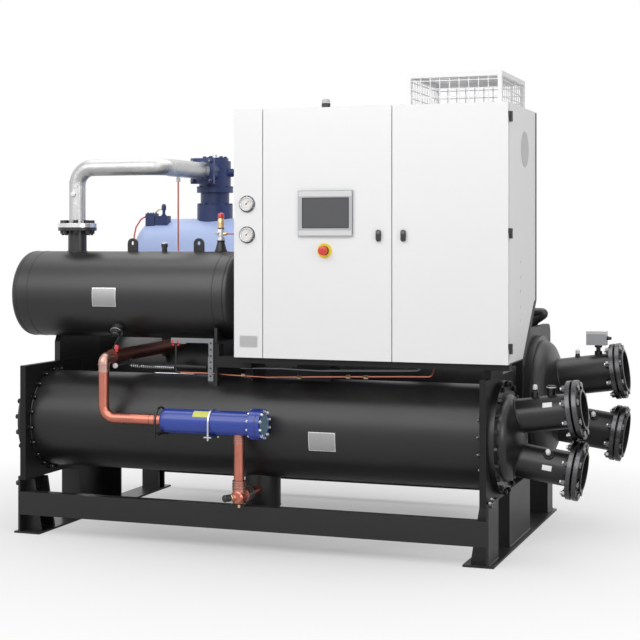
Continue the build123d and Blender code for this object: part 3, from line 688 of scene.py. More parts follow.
class ChillerHardware(PropertyGroup):
    """Sizes of the nuts."""

    head_nut: FloatProperty(
        name="Head Nut", description="Width across flats of the nuts round the shell heads",
        unit="LENGTH", min=0.01, max=0.05, default=0.024,
    )
    flange_nut: FloatProperty(
        name="Flange Nut", description="Width across flats of the nuts on the water flanges",
        unit="LENGTH", min=0.01, max=0.06, default=0.03,
    )
    condenser_nuts: IntProperty(
        name="Condenser Nuts", description="Nuts round each condenser head", min=8, max=60, default=20,
    )


class ChillerStage(PropertyGroup):
    """Floor and camera."""

    floor: swatch("Floor", "Colour of the floor", (0.8, 0.8, 0.8))
    eye_height: FloatProperty(
        name="Eye Height", description="Height of the camera over the floor", unit="LENGTH", default=1.55,
    )
    lens: FloatProperty(
        name="Lens", description="Focal length of the camera in millimetres", min=10, max=200, default=83.25,
    )


def paints():
    return bpy.context.scene.chiller_paints


def hardware():
    return bpy.context.scene.chiller_hardware


# Groups of pieces

class CHILLER_OT_finishes(Operator):
    """Give every solid of the frame its finish"""

    bl_idname = "chiller.finishes"
    bl_label = "Finish the Solids"

    def execute(self, context):
        for build in (build_orange_peel, build_soft_edges, build_settled_dust, build_tone_drift):
            build()
        build_finishes()
        for finish, nodes in NODE_FINISH.items():
            for node in nodes:
                solid = frame["nodes"][node]
                solid.data.materials.clear()
                solid.data.materials.append(finishes[finish])
        return {"FINISHED"}


def vessel(name):
    """Middle, ring radius and outer tubesheet face of a shell with heads."""
    low, high = spans(name + "_right_head")
    return middle(name + "_shell"), (high.z - low.z) / 2, spans(name + "_tubesheets")[1].x


class CHILLER_OT_head_bolts(Operator):
    """Set nuts and studs round the shell heads"""

    bl_idname = "chiller.head_bolts"
    bl_label = "Bolt the Heads"

    def execute(self, context):
        tubesheet, flange = 32, 30
        centre, ring, sheet = vessel("condenser")
        size = hardware().head_nut / MM
        count = hardware().condenser_nuts
        piece = Piece("condenser_head_bolts")
        for side in (-1, 1):
            for x, axis, circle, stud, stud_finish in (
                (sheet + flange, X_AXIS * side, ring - 14, 4, "black_steel"),
                (sheet - tubesheet, X_AXIS * -side, ring - 12, 7, "bolt_steel"),
            ):
                places = round_about(at(side * x, centre.y, centre.z, axis), circle, count, 6)
                nuts(piece, places, size, "black_steel", stud=stud, stud_finish=stud_finish)
        piece.place("machine")
        return {"FINISHED"}


class CHILLER_OT_water_flanges(Operator):
    """Bolt the water flanges and show their bare rims"""

    bl_idname = "chiller.water_flanges"
    bl_label = "Bolt the Water Flanges"

    def execute(self, context):
        size = hardware().flange_nut / MM
        piece = Piece("water_flange_bolts")
        rims = Piece("water_flange_rims")
        thick, gap = 22, 10
        stack = 2 * thick + gap
        for mount in water_mounts():
            spot, axis = mount_spot(mount)
            count = mount["dims"]["count"]
            circle = mount["dims"]["pcd_mm"] / 2
            outer = at(*spot, axis)
            inner = at(*(spot - axis * stack), -axis)
            start = 180 / count
            nuts(piece, round_about(outer, circle, count, start), size, "bolt_steel", washer=False, tall=0.3)
            nuts(piece, round_about(inner, circle, count, start), size, "bolt_steel", stud=9)
            small = circle < 125
            rim = circle + (22.5 if small else 21)
            for depth in (-thick, -stack):
                rims.ring(raised(outer, depth + 0.8), rim - 3, rim + 0.35, thick - 1.6, 0.8, "rim_steel", 72)
        piece.place("machine")
        rims.place("machine", "flange_steel")
        return {"FINISHED"}


def bead(piece, path, radius, closed=True):
    """A weld bead whose width ripples along its path."""
    luck = random.Random(len(path))
    steps = 64
    ripple = [luck.uniform(0.82, 1.12) for _ in range(steps)]
    points = [Vector(p) for p in path]
    if closed:
        points.append(points[0])
    piece.tube(points, radius, "weld", 8, swell=lambda t: ripple[int(t * (steps - 1))])


def ring_path(place, radius, count=72):
    return [spot.translation for spot in round_about(place, radius, count)]


def root_path(place, radius, surface, count=56):
    """Where a round branch meets the surface that it stands on, looking down its axis."""
    down = -(place.to_3x3() @ Z_AXIS)
    return [surface.hit(spot.translation, down) for spot in round_about(place, radius + 1.5, count)]


class CHILLER_OT_welds(Operator):
    """Lay weld beads where pipes, shells and plates meet"""

    bl_idname = "chiller.welds"
    bl_label = "Lay the Welds"

    def execute(self, context):
        piece = Piece("weld_beads")
        for name, pipe in WATER_PIPE.items():
            centre = middle(name + "_shell")
            low, high = spans(name + "_shell")
            radius = (high.z - low.z) / 2
            for side, x in ((1, low.x), (-1, high.x)):
                bead(piece, ring_path(at(x + side * 3, centre.y, centre.z, X_AXIS), radius + 1), 5)
            dome = Surface(name + "_right_head")
            for mount in water_mounts():
                if mount["name"].startswith(name):
                    spot, axis = mount_spot(mount)
                    bead(piece, root_path(at(*(spot - axis * 60), axis), pipe, dome), 5)
                    bead(piece, ring_path(at(*(spot - axis * 57), axis), pipe + 1), 4)
        centre = middle("separator_neck")
        neck = at(centre.x, centre.y, 1585)
        bead(piece, root_path(neck, 50, Surface("separator_shell")), 4)
        sump = middle("condenser_sump")
        bead(piece, ring_path(at(sump.x, sump.y, spans("condenser_sump")[0].z + 6), 92), 3)
        web = spans("right_foot")[1].x - 24
        for x in (-web, web):
            for start, end in ((-800, -590), (-340, 160), (655, 800)):
                steps = [start + 4 + i * (end - start - 8) / 12 for i in range(13)]
                bead(piece, [(x, y, 12) for y in steps], 4, closed=False)
        piece.place("machine", "black_paint")
        return {"FINISHED"}


class CHILLER_OT_separator_fittings(Operator):
    """Fit plates, seams, ports and the safety valve on the separator"""

    bl_idname = "chiller.separator_fittings"
    bl_label = "Fit Out the Separator"

    def execute(self, context):
        self.seams_and_plates()
        self.neck_bolts()
        self.safety_valve()
        self.heater_plug()
        return {"FINISHED"}

    def seams_and_plates(self):
        piece = Piece("separator_seams")
        centre = middle("separator_shell")
        low, high = spans("separator_shell")
        radius = (high.z - low.z) / 2
        for x in (low.x + 6, low.x + 70, high.x - 62, high.x - 6):
            band = at(x - 2, centre.y, centre.z, X_AXIS)
            piece.ring(band, radius - 1, radius + 1.2, 5, 1, "black_lagging", 96)
        piece.place("machine", "black_lagging")
        plates = Piece("bare_nameplates")
        border, shell, shell_radius = 4, middle("condenser_shell"), 254
        for body, size, left, right, low, high in (
            (centre, radius, -891, -753, -14.4, 10.3), (shell, shell_radius, 345, 485, -17.6, 3.8)
        ):
            edge = math.degrees(border / size)
            place = at(left, body.y, body.z, X_AXIS)
            wide = right - left
            curved_plate(plates, place, size, wide, (low, high), 1, "steel")
            inset, inside = raised(place, border), (low + edge, high - edge)
            curved_plate(plates, inset, size, wide - 2 * border, inside, 1.8, "label_plate")
        plates.place("machine")

    def neck_bolts(self):
        piece = Piece("discharge_flange_bolts")
        centre = middle("separator_neck")
        x, y, top = centre.x, centre.y, spans("separator_neck")[1].z
        nuts(piece, round_about(at(x, y, top + 22), 78, 8, 22.5), 26, "black_steel")
        below = round_about(at(x, y, top - 18, -Z_AXIS), 78, 8, 22.5)
        nuts(piece, below, 26, "black_steel", stud=8, stud_finish="black_steel")
        piece.ring(at(x, y, top - 0.2), 44, 104.5, 22.6, 1.5, "steel", 72)
        piece.ring(at(x, y, top - 2.4), 60, 101, 2.4, 0, "rubber", 60)
        piece.place("machine")

    def safety_valve(self):
        """Relief valve in place of the plain solid: black cone, steel cock, brass housing and red cap."""
        piece = Piece("safety_valve_dress")
        x, y = -262, -430
        foot = Surface("separator_shell").hit((x, y, 1700), -Z_AXIS).z - 3
        body = at(x, y, 0)
        cone = [(0, foot), (34, foot), (34, foot + 8), (30, foot + 14), (19, 1530), (21, 1533), (21, 1538)]
        piece.lathe(body, cone + [(0, 1538)], "black_paint", 36)
        piece.hexagon(at(x, y, 1538), 21, 15, "steel", 0.06)
        cock = [(0, 1553), (14, 1553), (14, 1560), (18, 1563), (18, 1586), (14, 1590), (0, 1590)]
        piece.lathe(body, cock, "steel")
        lever = at(x, y, 1574, (-0.5, -0.86, 0.1))
        piece.lathe(lever, [(0, 14), (9, 14), (9, 26), (5, 28), (5, 32), (0, 32)], "steel", 20)
        piece.pad(lever @ Matrix.Translation((-10, 0, 29)), (34, 10, 4), 4, "zinc", 1)
        piece.hexagon(at(x, y, 1586), 20, 12, "steel", 0.06)
        housing = [(0, 1602), (15, 1602), (17, 1604), (17, 1622), (15.6, 1624), (17, 1626), (17, 1648)]
        crown = [(16.5 * math.cos(a), 1674 + 10 * math.sin(a)) for a in (0.4, 0.8, 1.2)]
        piece.turned(
            body,
            ([(0, 1597), (17.5, 1597), (17.5, 1602), (0, 1602)], "rubber", 28),
            (housing + [(14, 1654), (0, 1654)], "brass", 28),
            ([(0, 1654), (16.5, 1654), (16.5, 1674), *crown, (0, 1684)], "red_plastic", 28),
        )
        wall = spans("cabinet_sides")[0].x
        piece.lathe(at(x + 16, y, 1572, X_AXIS), [(0, 0), (9, 0), (9, 14), (6, 18), (0, 18)], "brass", 20)
        piece.tube([(x + 30, y, 1572), (x + 140, y, 1571), (wall + 1, y, 1571)], 3.4, "red_plastic", 10)
        piece.disc(at(wall, y, 1571, -X_AXIS), 9, 6, 2, "black_plastic", 20)
        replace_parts(piece.place("machine", "valve_brass"), "safety_valve")

    def heater_plug(self):
        piece = Piece("heater_plug_dress")
        place = raised(at(-775, SEPARATOR_Y, 1249, (0, -0.669, -0.743)), 258)
        piece.ring(place, 24.4, 35.2, 2, 0.8, "steel", 40)
        piece.hexagon(raised(place, 16), 21, 6, "dark_steel")
        piece.hexagon(at(-580, SEPARATOR_Y, 1519), 16, 7, "steel")
        piece.place("machine")


class CHILLER_OT_discharge_fittings(Operator):
    """Bolt the discharge valve and fit the small parts of the compressor"""

    bl_idname = "chiller.discharge_fittings"
    bl_label = "Fit Out the Discharge Side"

    def execute(self, context):
        self.valve_bolts()
        self.compressor_rings()
        self.service_parts()
        self.foil_bands()
        return {"FINISHED"}

    def valve_bolts(self):
        piece = Piece("discharge_valve_bolts")
        x, y, z = VALVE_X, VALVE_Y, DISCHARGE_Z
        for dx, dz in four_corners(53, 56):
            for face, axis, stud in ((85, FRONT, 5), (109, -FRONT, 6)):
                place = at(x + dx, face, z + dz, axis)
                hex_nut(piece, place, 24, "valve_blue", stud=stud, stud_finish="bolt_steel")
        for level, circle, count, start, size in (
            (1842, 98, 10, 18, 13), (1742, 94, 12, 15, 15), (2012, 60, 6, 30, 18),
        ):
            nuts(piece, round_about(at(x, y, level), circle, count, start), size, "valve_blue", washer=False)
        stem = [(0, 2011), (24, 2011), (24, 2018), (15, 2020), (15, 2034), (11, 2040), (0, 2040)]
        piece.lathe(at(x, y, 0), stem, "steel", 24)
        piece.hexagon(at(x + 110, y, z - 5, X_AXIS), 22, 14, "valve_blue")
        piece.place("machine", "valve_blue")

    def compressor_rings(self):
        piece = Piece("compressor_joint_bolts")
        finish, z = "compressor_blue", 1383
        for x in (-250, 60):
            for side in (-1, 1):
                ring = at(x + side * 18, VALVE_Y, z, X_AXIS * side)
                nuts(piece, round_about(ring, 292, 28, 4), 17, finish, washer=False)
        cover = at(330, VALVE_Y, z, X_AXIS)
        nuts(piece, round_about(cover, 225, 20, 9), 19, finish, washer=False)
        for x in (-930, -420):
            piece.lathe(at(x, VALVE_Y, 1660), [(0, 0), (22, 0), (22, 8), (10, 12), (0, 12)], finish, 24)
        piece.place("machine", "compressor_blue")

    def service_parts(self):
        """The service valve with its red hose, and the thin tube down to the separator."""
        piece = Piece("service_valve_dress")
        y = 150
        for dx, dy in four_corners(17, 18):
            hex_nut(piece, at(-947 + dx, y + dy, 1692), 11, "valve_blue", washer=False)
        stem = [(0, 1676), (15, 1676), (15, 1684), (8.6, 1688), (8.6, 1711), (13.6, 1712), (13.6, 1732)]
        piece.lathe(at(-872, y, 0), stem + [(9, 1746), (0, 1746)], "valve_blue", 20)
        piece.tube(rounded_path([(-925, y, 1699), (-900, y, 1716), (-882, y, 1716)], 8), 4, "brass", 10)
        end_y, end_z = 30, 1400
        wall = Surface("compressor").hit((-1200, end_y, end_z), X_AXIS).x
        hose = [(-950, y, 1680), (-968, 148, 1684), (-997, 110, 1660), (-1010, 70, 1613), (-1007, 40, 1561)]
        hose += [(-1002, end_y, 1500), (wall - 22, end_y, 1430), (wall - 22, end_y, end_z)]
        hose.append((wall - 8, end_y, end_z))
        piece.tube(rounded_path(hose, 22), 4.4, "red_plastic", 10)
        piece.hexagon(at(wall - 14, end_y, end_z, X_AXIS), 9, 18, "brass", 0.1)
        x, y = VALVE_X, -230
        front = y - 70
        landing = Surface("separator_shell").hit((x, front, 1700), -Z_AXIS)
        thin = [(x, y, 1888), (x, y, 1700), (x, y, 1462)]
        thin += [(x, front, landing.z + 30), (x, front, landing.z - 3)]
        piece.tube(rounded_path(thin, 30), 5, "copper", 10)
        piece.hexagon(at(*landing), 12, 16, "steel", 0.1)
        piece.hexagon(at(x, y, 1858), 13, 22, "steel", 0.1)
        piece.disc(at(x, y, 1876), 8, 14, 1, "steel", 16)
        piece.place("machine")

    def foil_bands(self):
        """Joints of the metal sheet, its lengthways seam, and the sleeve that ends at the valve."""
        piece = Piece("foil_sleeves")
        x, y, z, r = middle("separator_neck").x, SEPARATOR_Y, DISCHARGE_Z, FOIL_RADIUS
        for place in (at(x, y, 1652), at(x, y, 1852), at(x + 96, y, z, X_AXIS), at(-760, y, z, X_AXIS)):
            piece.ring(place, r, r + 1.8, 7, 1, "foil", 56)
        piece.pad(at(x + 31, y - 31, 1656), (7, 3, 1, 3), 196, "foil", 0.5)
        sleeve = [(r, 0), (r + 2, 1), (r + 3.6, 14), (r + 3.8, 200), (r + 3.8, 392), (r + 2.6, 400), (r, 400)]
        piece.lathe(at(VALVE_X, -352, z, Y_AXIS), sleeve, "foil", 56, closed=True)
        collar = [(38, 0), (46, 0), (46.6, 4), (50, 30), (51.5, 32), (51.5, 37), (38, 37)]
        piece.lathe(at(VALVE_X, 47, z, Y_AXIS), collar, "label_plate", 56, closed=True)
        boss = at(x, y - 43, 1787, FRONT)
        piece.lathe(boss, [(0, 0), (15, 0), (15, 8), (10, 12), (0, 12)], "steel", 24)
        piece.place("machine", "foil_pipe")


class CHILLER_OT_liquid_fittings(Operator):
    """Dress the liquid line, the drier and its valve"""

    bl_idname = "chiller.liquid_fittings"
    bl_label = "Fit Out the Liquid Line"

    def execute(self, context):
        self.line_parts()
        self.drier_parts()
        self.drop_parts()
        return {"FINISHED"}

    def line_parts(self):
        piece = Piece("liquid_line_dress")
        x, y = RISER_X, LIQUID_Y
        elbow = rounded_path([(x, -752, 937), (x, y, 936), (x, y, 868)], 60, 12)
        piece.tube(elbow, 27.9, "brazed_copper", 32)
        for z in (905, 868):
            piece.ring(at(x, y, z - 4), TUBE_SKIN, 30.5, 9, 2, "brazed_copper", 40)
        for z in (692, 700):
            piece.ring(at(x, y, z), TUBE_SKIN, 29.2, 4, 1.4, "copper", 40)
        for near in (-480, -452):
            piece.ring(at(near, y, DRIER_Z, X_AXIS), TUBE_SKIN, 29.4, 5, 1.6, "copper", 40)
        # The tube running back from the elbow takes the copper darkened as painted shade
        piece.tube([(x, -746, 937.5), (x, -400, 941.5), (x, 70, 947)], 36, "painted_shade_copper", 32)
        cap = [(0, -12), (9, -12), (9, 2), (11.5, 2), (11.5, 20), (9, 24), (0, 24)]
        piece.lathe(at(x + 24, -735, 974), cap, "red_plastic", 24)
        piece.disc(at(-709, -760, 892, FRONT), 13, 14, 4, "white_plastic", 24)
        lead = [(-709, -755, 892), (-709, -700, 892), (-715, -640, 900), (-722, -560, 930)]
        piece.tube(lead, 6, "rubber", 10)
        piece.place("machine", "copper")

    def drier_parts(self):
        piece = Piece("drier_dress")
        y, z = LIQUID_Y, DRIER_Z
        dome = [(60.8, 32), (60.6, 18), (57, 9), (50, 3), (40, -1), (30, -2), (30, 20), (50, 32)]
        piece.lathe(at(-408, y, z, X_AXIS), dome, "drier_blue", 56, closed=True)
        cover = at(141, y, z, X_AXIS)
        nuts(piece, round_about(cover, 65, 10, 18), 15, "zinc", stud=3)
        nuts(piece, round_about(at(81, y, z, -X_AXIS), 68, 10, 18), 13, "zinc", washer=False, stud=4)
        piece.disc(cover, 56, 1.4, 0.6, "cover_blue", 56)
        piece.ring(at(118, y, z, X_AXIS), 70, 77, 3, 0.6, "ink_black", 56)
        piece.ring(at(79, y, z, X_AXIS), 60, 63.5, 5, 2, "drier_blue", 56)
        piece.place("machine", "drier_blue")
        label = Piece("drier_plain_label")
        curved_plate(label, at(-222, y, z, X_AXIS), 60.5, 86, (30, 68), 0.5, "label_yellow")
        label.place("machine")
        clamps = Piece("drier_clamp_nuts")
        for x, finish in ((-420, "black_steel"), (-131, "zinc")):
            for side in (-1, 1):
                for up, low in ((Z_AXIS, 568), (-Z_AXIS, 562)):
                    hex_nut(clamps, at(x, y + side * 64.5, low, up), 11, finish)
        clamps.place("machine", "zinc_steel")

    def drop_parts(self):
        """Rings on the drop, and the angle valve in place of the plain solid."""
        piece = Piece("angle_valve_dress")
        x, y, z = DROP_X, LIQUID_Y, 270
        for height, r in ((562, 29.5), (548, 30), (534, 29.5)):
            piece.ring(at(x, y, height), TUBE_SKIN, r, 6, 2, "brazed_copper", 40)
        upright = at(x, y, z)
        body = [(0, -36), (22, -36), (31, -30), (34, -20), (35, 0), (34, 18), (32, 28), (32, 78)]
        piece.lathe(upright, body + [(27.6, 78), (27.6, 30), (0, 30)], "copper", 44)
        for height, r in ((34, 34.4), (47, 35), (60, 34.4), (74, 33.6)):
            piece.ring(raised(upright, height), 31, r, 7, 2.6, "brazed_copper", 44)
        plug = [(0, -56), (5, -56), (8, -53), (8, -40), (11, -38), (11, -34), (0, -34)]
        piece.lathe(upright, plug, "brass", 20)
        outlet = at(x, y, z, Y_AXIS)
        branch = [(0, -37), (24, -37), (32, -30), (34, -16), (34, 26), (32, 34), (32, 88)]
        piece.lathe(outlet, branch + [(27.6, 88), (27.6, 36), (0, 36)], "copper", 44)
        for gap, wide, finish in (
            (42, 7, "brazed_copper"), (52, 9, "dull_zinc"), (66, 9, "dull_zinc"),
            (80, 6, "brazed_copper"), (100, 8, "dull_zinc"), (112, 8, "dull_zinc"),
        ):
            piece.ring(raised(outlet, gap), 27.8, 37.4, wide, 2.6, finish, 44)
        spindle = at(x, y, z, (-0.5, -0.866, 0))
        piece.lathe(spindle, [(0, 28), (21, 28), (21, 40), (19, 44), (0, 44)], "copper", 32)
        piece.hexagon(raised(spindle, 44), 19, 12, "brass", 0.08)
        cap = [(0, 56), (15, 56), (15, 60), (18, 61), (18, 69), (17, 71), (17.6, 91), (13, 96), (0, 96)]
        piece.lathe(spindle, cap, "black_plastic", 32)
        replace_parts(piece.place("machine", "copper"), "angle_valve")


class CHILLER_OT_small_pipes(Operator):
    """Run the thin tubes between the separator, the shell and the cabinet"""

    bl_idname = "chiller.small_pipes"
    bl_label = "Run the Small Pipes"

    def execute(self, context):
        piece = Piece("thin_tubes")
        y, deck = -592, spans("cabinet_bottom")[0].z + 1
        piece.tube(rounded_path([(-446, y, 1008), (-446, y, 852), (-420, y, 852)], 26), 6, "rubber", 12)
        run = [(-424, y, 852), (-260, y, 852), (-120, -640, 852), (90, -655, 848), (345, -650, 858)]
        run += [(790, -650, 873), (945, -640, 876), (952, -600, deck)]
        piece.tube(rounded_path(run, 26), 4.8, "copper", 10)
        for x, z in ((-52, 853), (250, 853), (508, 864), (600, 864)):
            piece.hexagon(at(x, -652, z, X_AXIS), 10, 22, "brass", 0.1)
        piece.block((-470, y - 11, 1002), (-384, y - 8, 1032), "dull_zinc", 0.6)
        piece.block((-470, y - 11, 1002), (-422, y + 11, 1005), "dull_zinc", 0.6)
        cap = [(0, -14), (7, -14), (7, 0), (12, 0), (12, 15), (9, 19), (0, 19)]
        for x in (-461, -432):
            piece.lathe(at(x, y, 1005), cap, "red_plastic", 22)
        upper = [(-60, -640, 890), (160, -650, 895), (360, -650, 890), (790, -650, 902)]
        upper += [(880, -630, 904), (890, -600, deck)]
        piece.tube(rounded_path(upper, 30), 7, "braid", 12)
        piece.tube(rounded_path([(-602, -520, 838), (-380, -520, 838), (-340, -480, 820)], 20), 4, "steel", 8)
        self.wrapped_hose(piece, y)
        piece.place("machine")
        self.front_strut()
        self.lagged_return()
        return {"FINISHED"}

    def wrapped_hose(self, piece, y):
        """A hose with uneven wrapping, and ribs of bright zinc along its level part that paint the highlights
        on the wrapping.
        """
        wrap = [(-720, -560, 930), (-719, y, 880), (-640, y, 876), (-446, y, 884), (-270, y, 882)]
        luck, count = random.Random(4), 80
        folds = [1 + 0.12 * luck.random() + 0.1 * (i % 2) for i in range(count)]
        hose = rounded_path(wrap, 40, 10)
        dense = [near.lerp(far, t / 6) for near, far in zip(hose, hose[1:]) for t in range(6)]
        piece.tube(dense + hose[-1:], 9, "rubber", 12, swell=lambda t: folds[int(t * (count - 1))])
        # Zinc rings: ribs of the wrapping, coloured bright as painted highlights
        for i in range(22):
            band = at(-702 + 11.5 * i, y, 880 - 4 * min(1, i / 4), X_AXIS)
            piece.ring(band, 7, 10.8, 5, 1.6, "zinc", 14)

    def front_strut(self):
        """Perforated channel on the face of the cabinet's outrigger."""
        piece = Piece("front_strut")
        front = Surface("cabinet_frame").hit((-200, -1200, 930), Y_AXIS).y
        left, right = -211, -186
        piece.block((left, front - 7, 868), (right, front + 0.5, 1034), "dull_zinc", 1)
        for i in range(5):
            hole = at((left + right) / 2, front - 7, 888 + 32 * i, FRONT)
            piece.ring(hole, 4.5, 6.5, 0.6, 0.2, "dark_steel", 20)
            piece.disc(hole, 4.6, 0.3, 0, "ink_black", 20)
        piece.place("machine", "zinc_steel")

    def lagged_return(self):
        """Lagged pipe behind the cabinet, from the rear shell to the suction line."""
        piece = Piece("lagged_return")
        shell, suction = middle("evaporator_shell"), middle("suction_line")
        y, top = 640, 1132
        route = [
            (1160, y, shell.z), (1164, y, 1050), (1196, y, 1092), (1256, y, top), (1140, y, top),
            (suction.x + 160, suction.y + 60, top), (suction.x, suction.y, top),
        ]
        piece.tube(rounded_path(route, 24, 10), 26, "black_lagging", 24)
        piece.place("machine", "black_lagging")


class CHILLER_OT_sensors(Operator):
    """Set the temperature pockets, tags and the flow switch on the water side"""

    bl_idname = "chiller.sensors"
    bl_label = "Set the Sensors"

    def execute(self, context):
        piece = Piece("water_side_sensors")
        water_side = Surface(
            "condenser_right_head", "condenser_nozzles", "evaporator_right_head", "evaporator_nozzles",
            "evaporator_tubesheets",
        )
        slanted = Vector((0, 1, -1)).normalized()
        for start, direction, radius, neck in (
            ((1471, 410, 1100), -Z_AXIS, 14, 0), ((1570, 210, 723), slanted, 20, 0),
            ((1499, -700, 652), slanted, 25, 0), ((1421, -500, 900), -Z_AXIS, 18, 20),
        ):
            self.pocket(piece, water_side.hit(start, direction), direction, radius, neck)
        stub = at(*water_side.hit((1500, -500, 900), -Z_AXIS))
        piece.lathe(stub, [(0, -4), (20, -4), (20, 24), (23, 24), (23, 36), (0, 36)], "black_paint", 32)
        piece.ring(raised(stub, 36), 8, 23.6, 4, 1, "tag_white", 32)
        piece.disc(raised(stub, 40), 21, 7, 2, "black_paint", 32)
        piece.place("machine")
        self.switch_parts()
        self.tags()
        return {"FINISHED"}

    def pocket(self, piece, spot, direction, radius, neck):
        """A hexagon pocket with its white plug, standing on a spot against a direction."""
        place = at(*(spot + direction * 3), -direction)
        piece.disc(place, radius, 10 + neck, 2, "black_paint", 28)
        piece.hexagon(raised(place, 10 + neck), 12, 9, "black_steel")
        plug = [(0, 0), (12, 0), (12, 16), (6, 24), (0, 24)]
        piece.lathe(raised(place, 19 + neck), plug, "tag_white", 20)

    def switch_parts(self):
        piece = Piece("flow_switch_dress")
        low, high = spans("flow_switch")
        centre = middle("flow_switch")
        for out, bottom, top, finish, ease in (
            (0.6, high.z - 16, high.z + 0.6, "white_plastic", 2.5),
            (0.3, 974.7, high.z - 17, "grey_plastic", 2),
        ):
            piece.block((low.x - out, low.y - out, bottom), (high.x + out, high.y + out, top), finish, ease)
        for dx, dy in four_corners(44, 24):
            piece.disc(at(centre.x + dx, centre.y + dy, high.z), 4, 2, 0.8, "steel", 16)
        gland = at(high.x, centre.y, 1012, X_AXIS)
        piece.hexagon(gland, 12, 9, "black_plastic")
        piece.lathe(gland, [(0, 9), (9, 9), (9, 20), (6, 25), (0, 25)], "black_plastic", 20)
        stem = [(0, 920), (20.4, 920), (20.4, 942), (12, 945), (12, 960), (20, 963), (20, 975), (0, 975)]
        piece.lathe(at(centre.x + 8, centre.y, 0), stem, "black_plastic", 28)
        piece.place("machine", "box_grey")

    def tags(self):
        """Plain white tags on the two front water connections."""
        piece = Piece("plain_pipe_tags")
        for mount in water_mounts():
            if mount["name"].startswith("condenser"):
                spot, axis = mount_spot(mount)
                back, low = (172, 24) if "upper" in mount["name"] else (178, -8)
                place = at(*(spot - axis * back), axis)
                pipe = WATER_PIPE["condenser"]
                curved_plate(piece, place, pipe, 46, (low, low + 17), 1, "tag_white", 8, 0.4)
        piece.place("machine")


def tick_marks(piece, place):
    """Marks of a dial over three quarters of a turn, with every fifth one long."""
    radius, count, start, sweep, wide = 27, 30, -45, 270, 0.8
    for i in range(count + 1):
        size = 5 if i % 5 == 0 else 2.75
        turn = Matrix.Rotation(math.radians(start + sweep * i / count), 4, "Z")
        x, y = size / 2, wide / 2
        mark = place @ turn @ Matrix.Translation((radius - x, 0, 0))
        piece.prism(mark, [(-x, -y), (x, -y), (x, y), (-x, y)], 0.4, "ink_black")


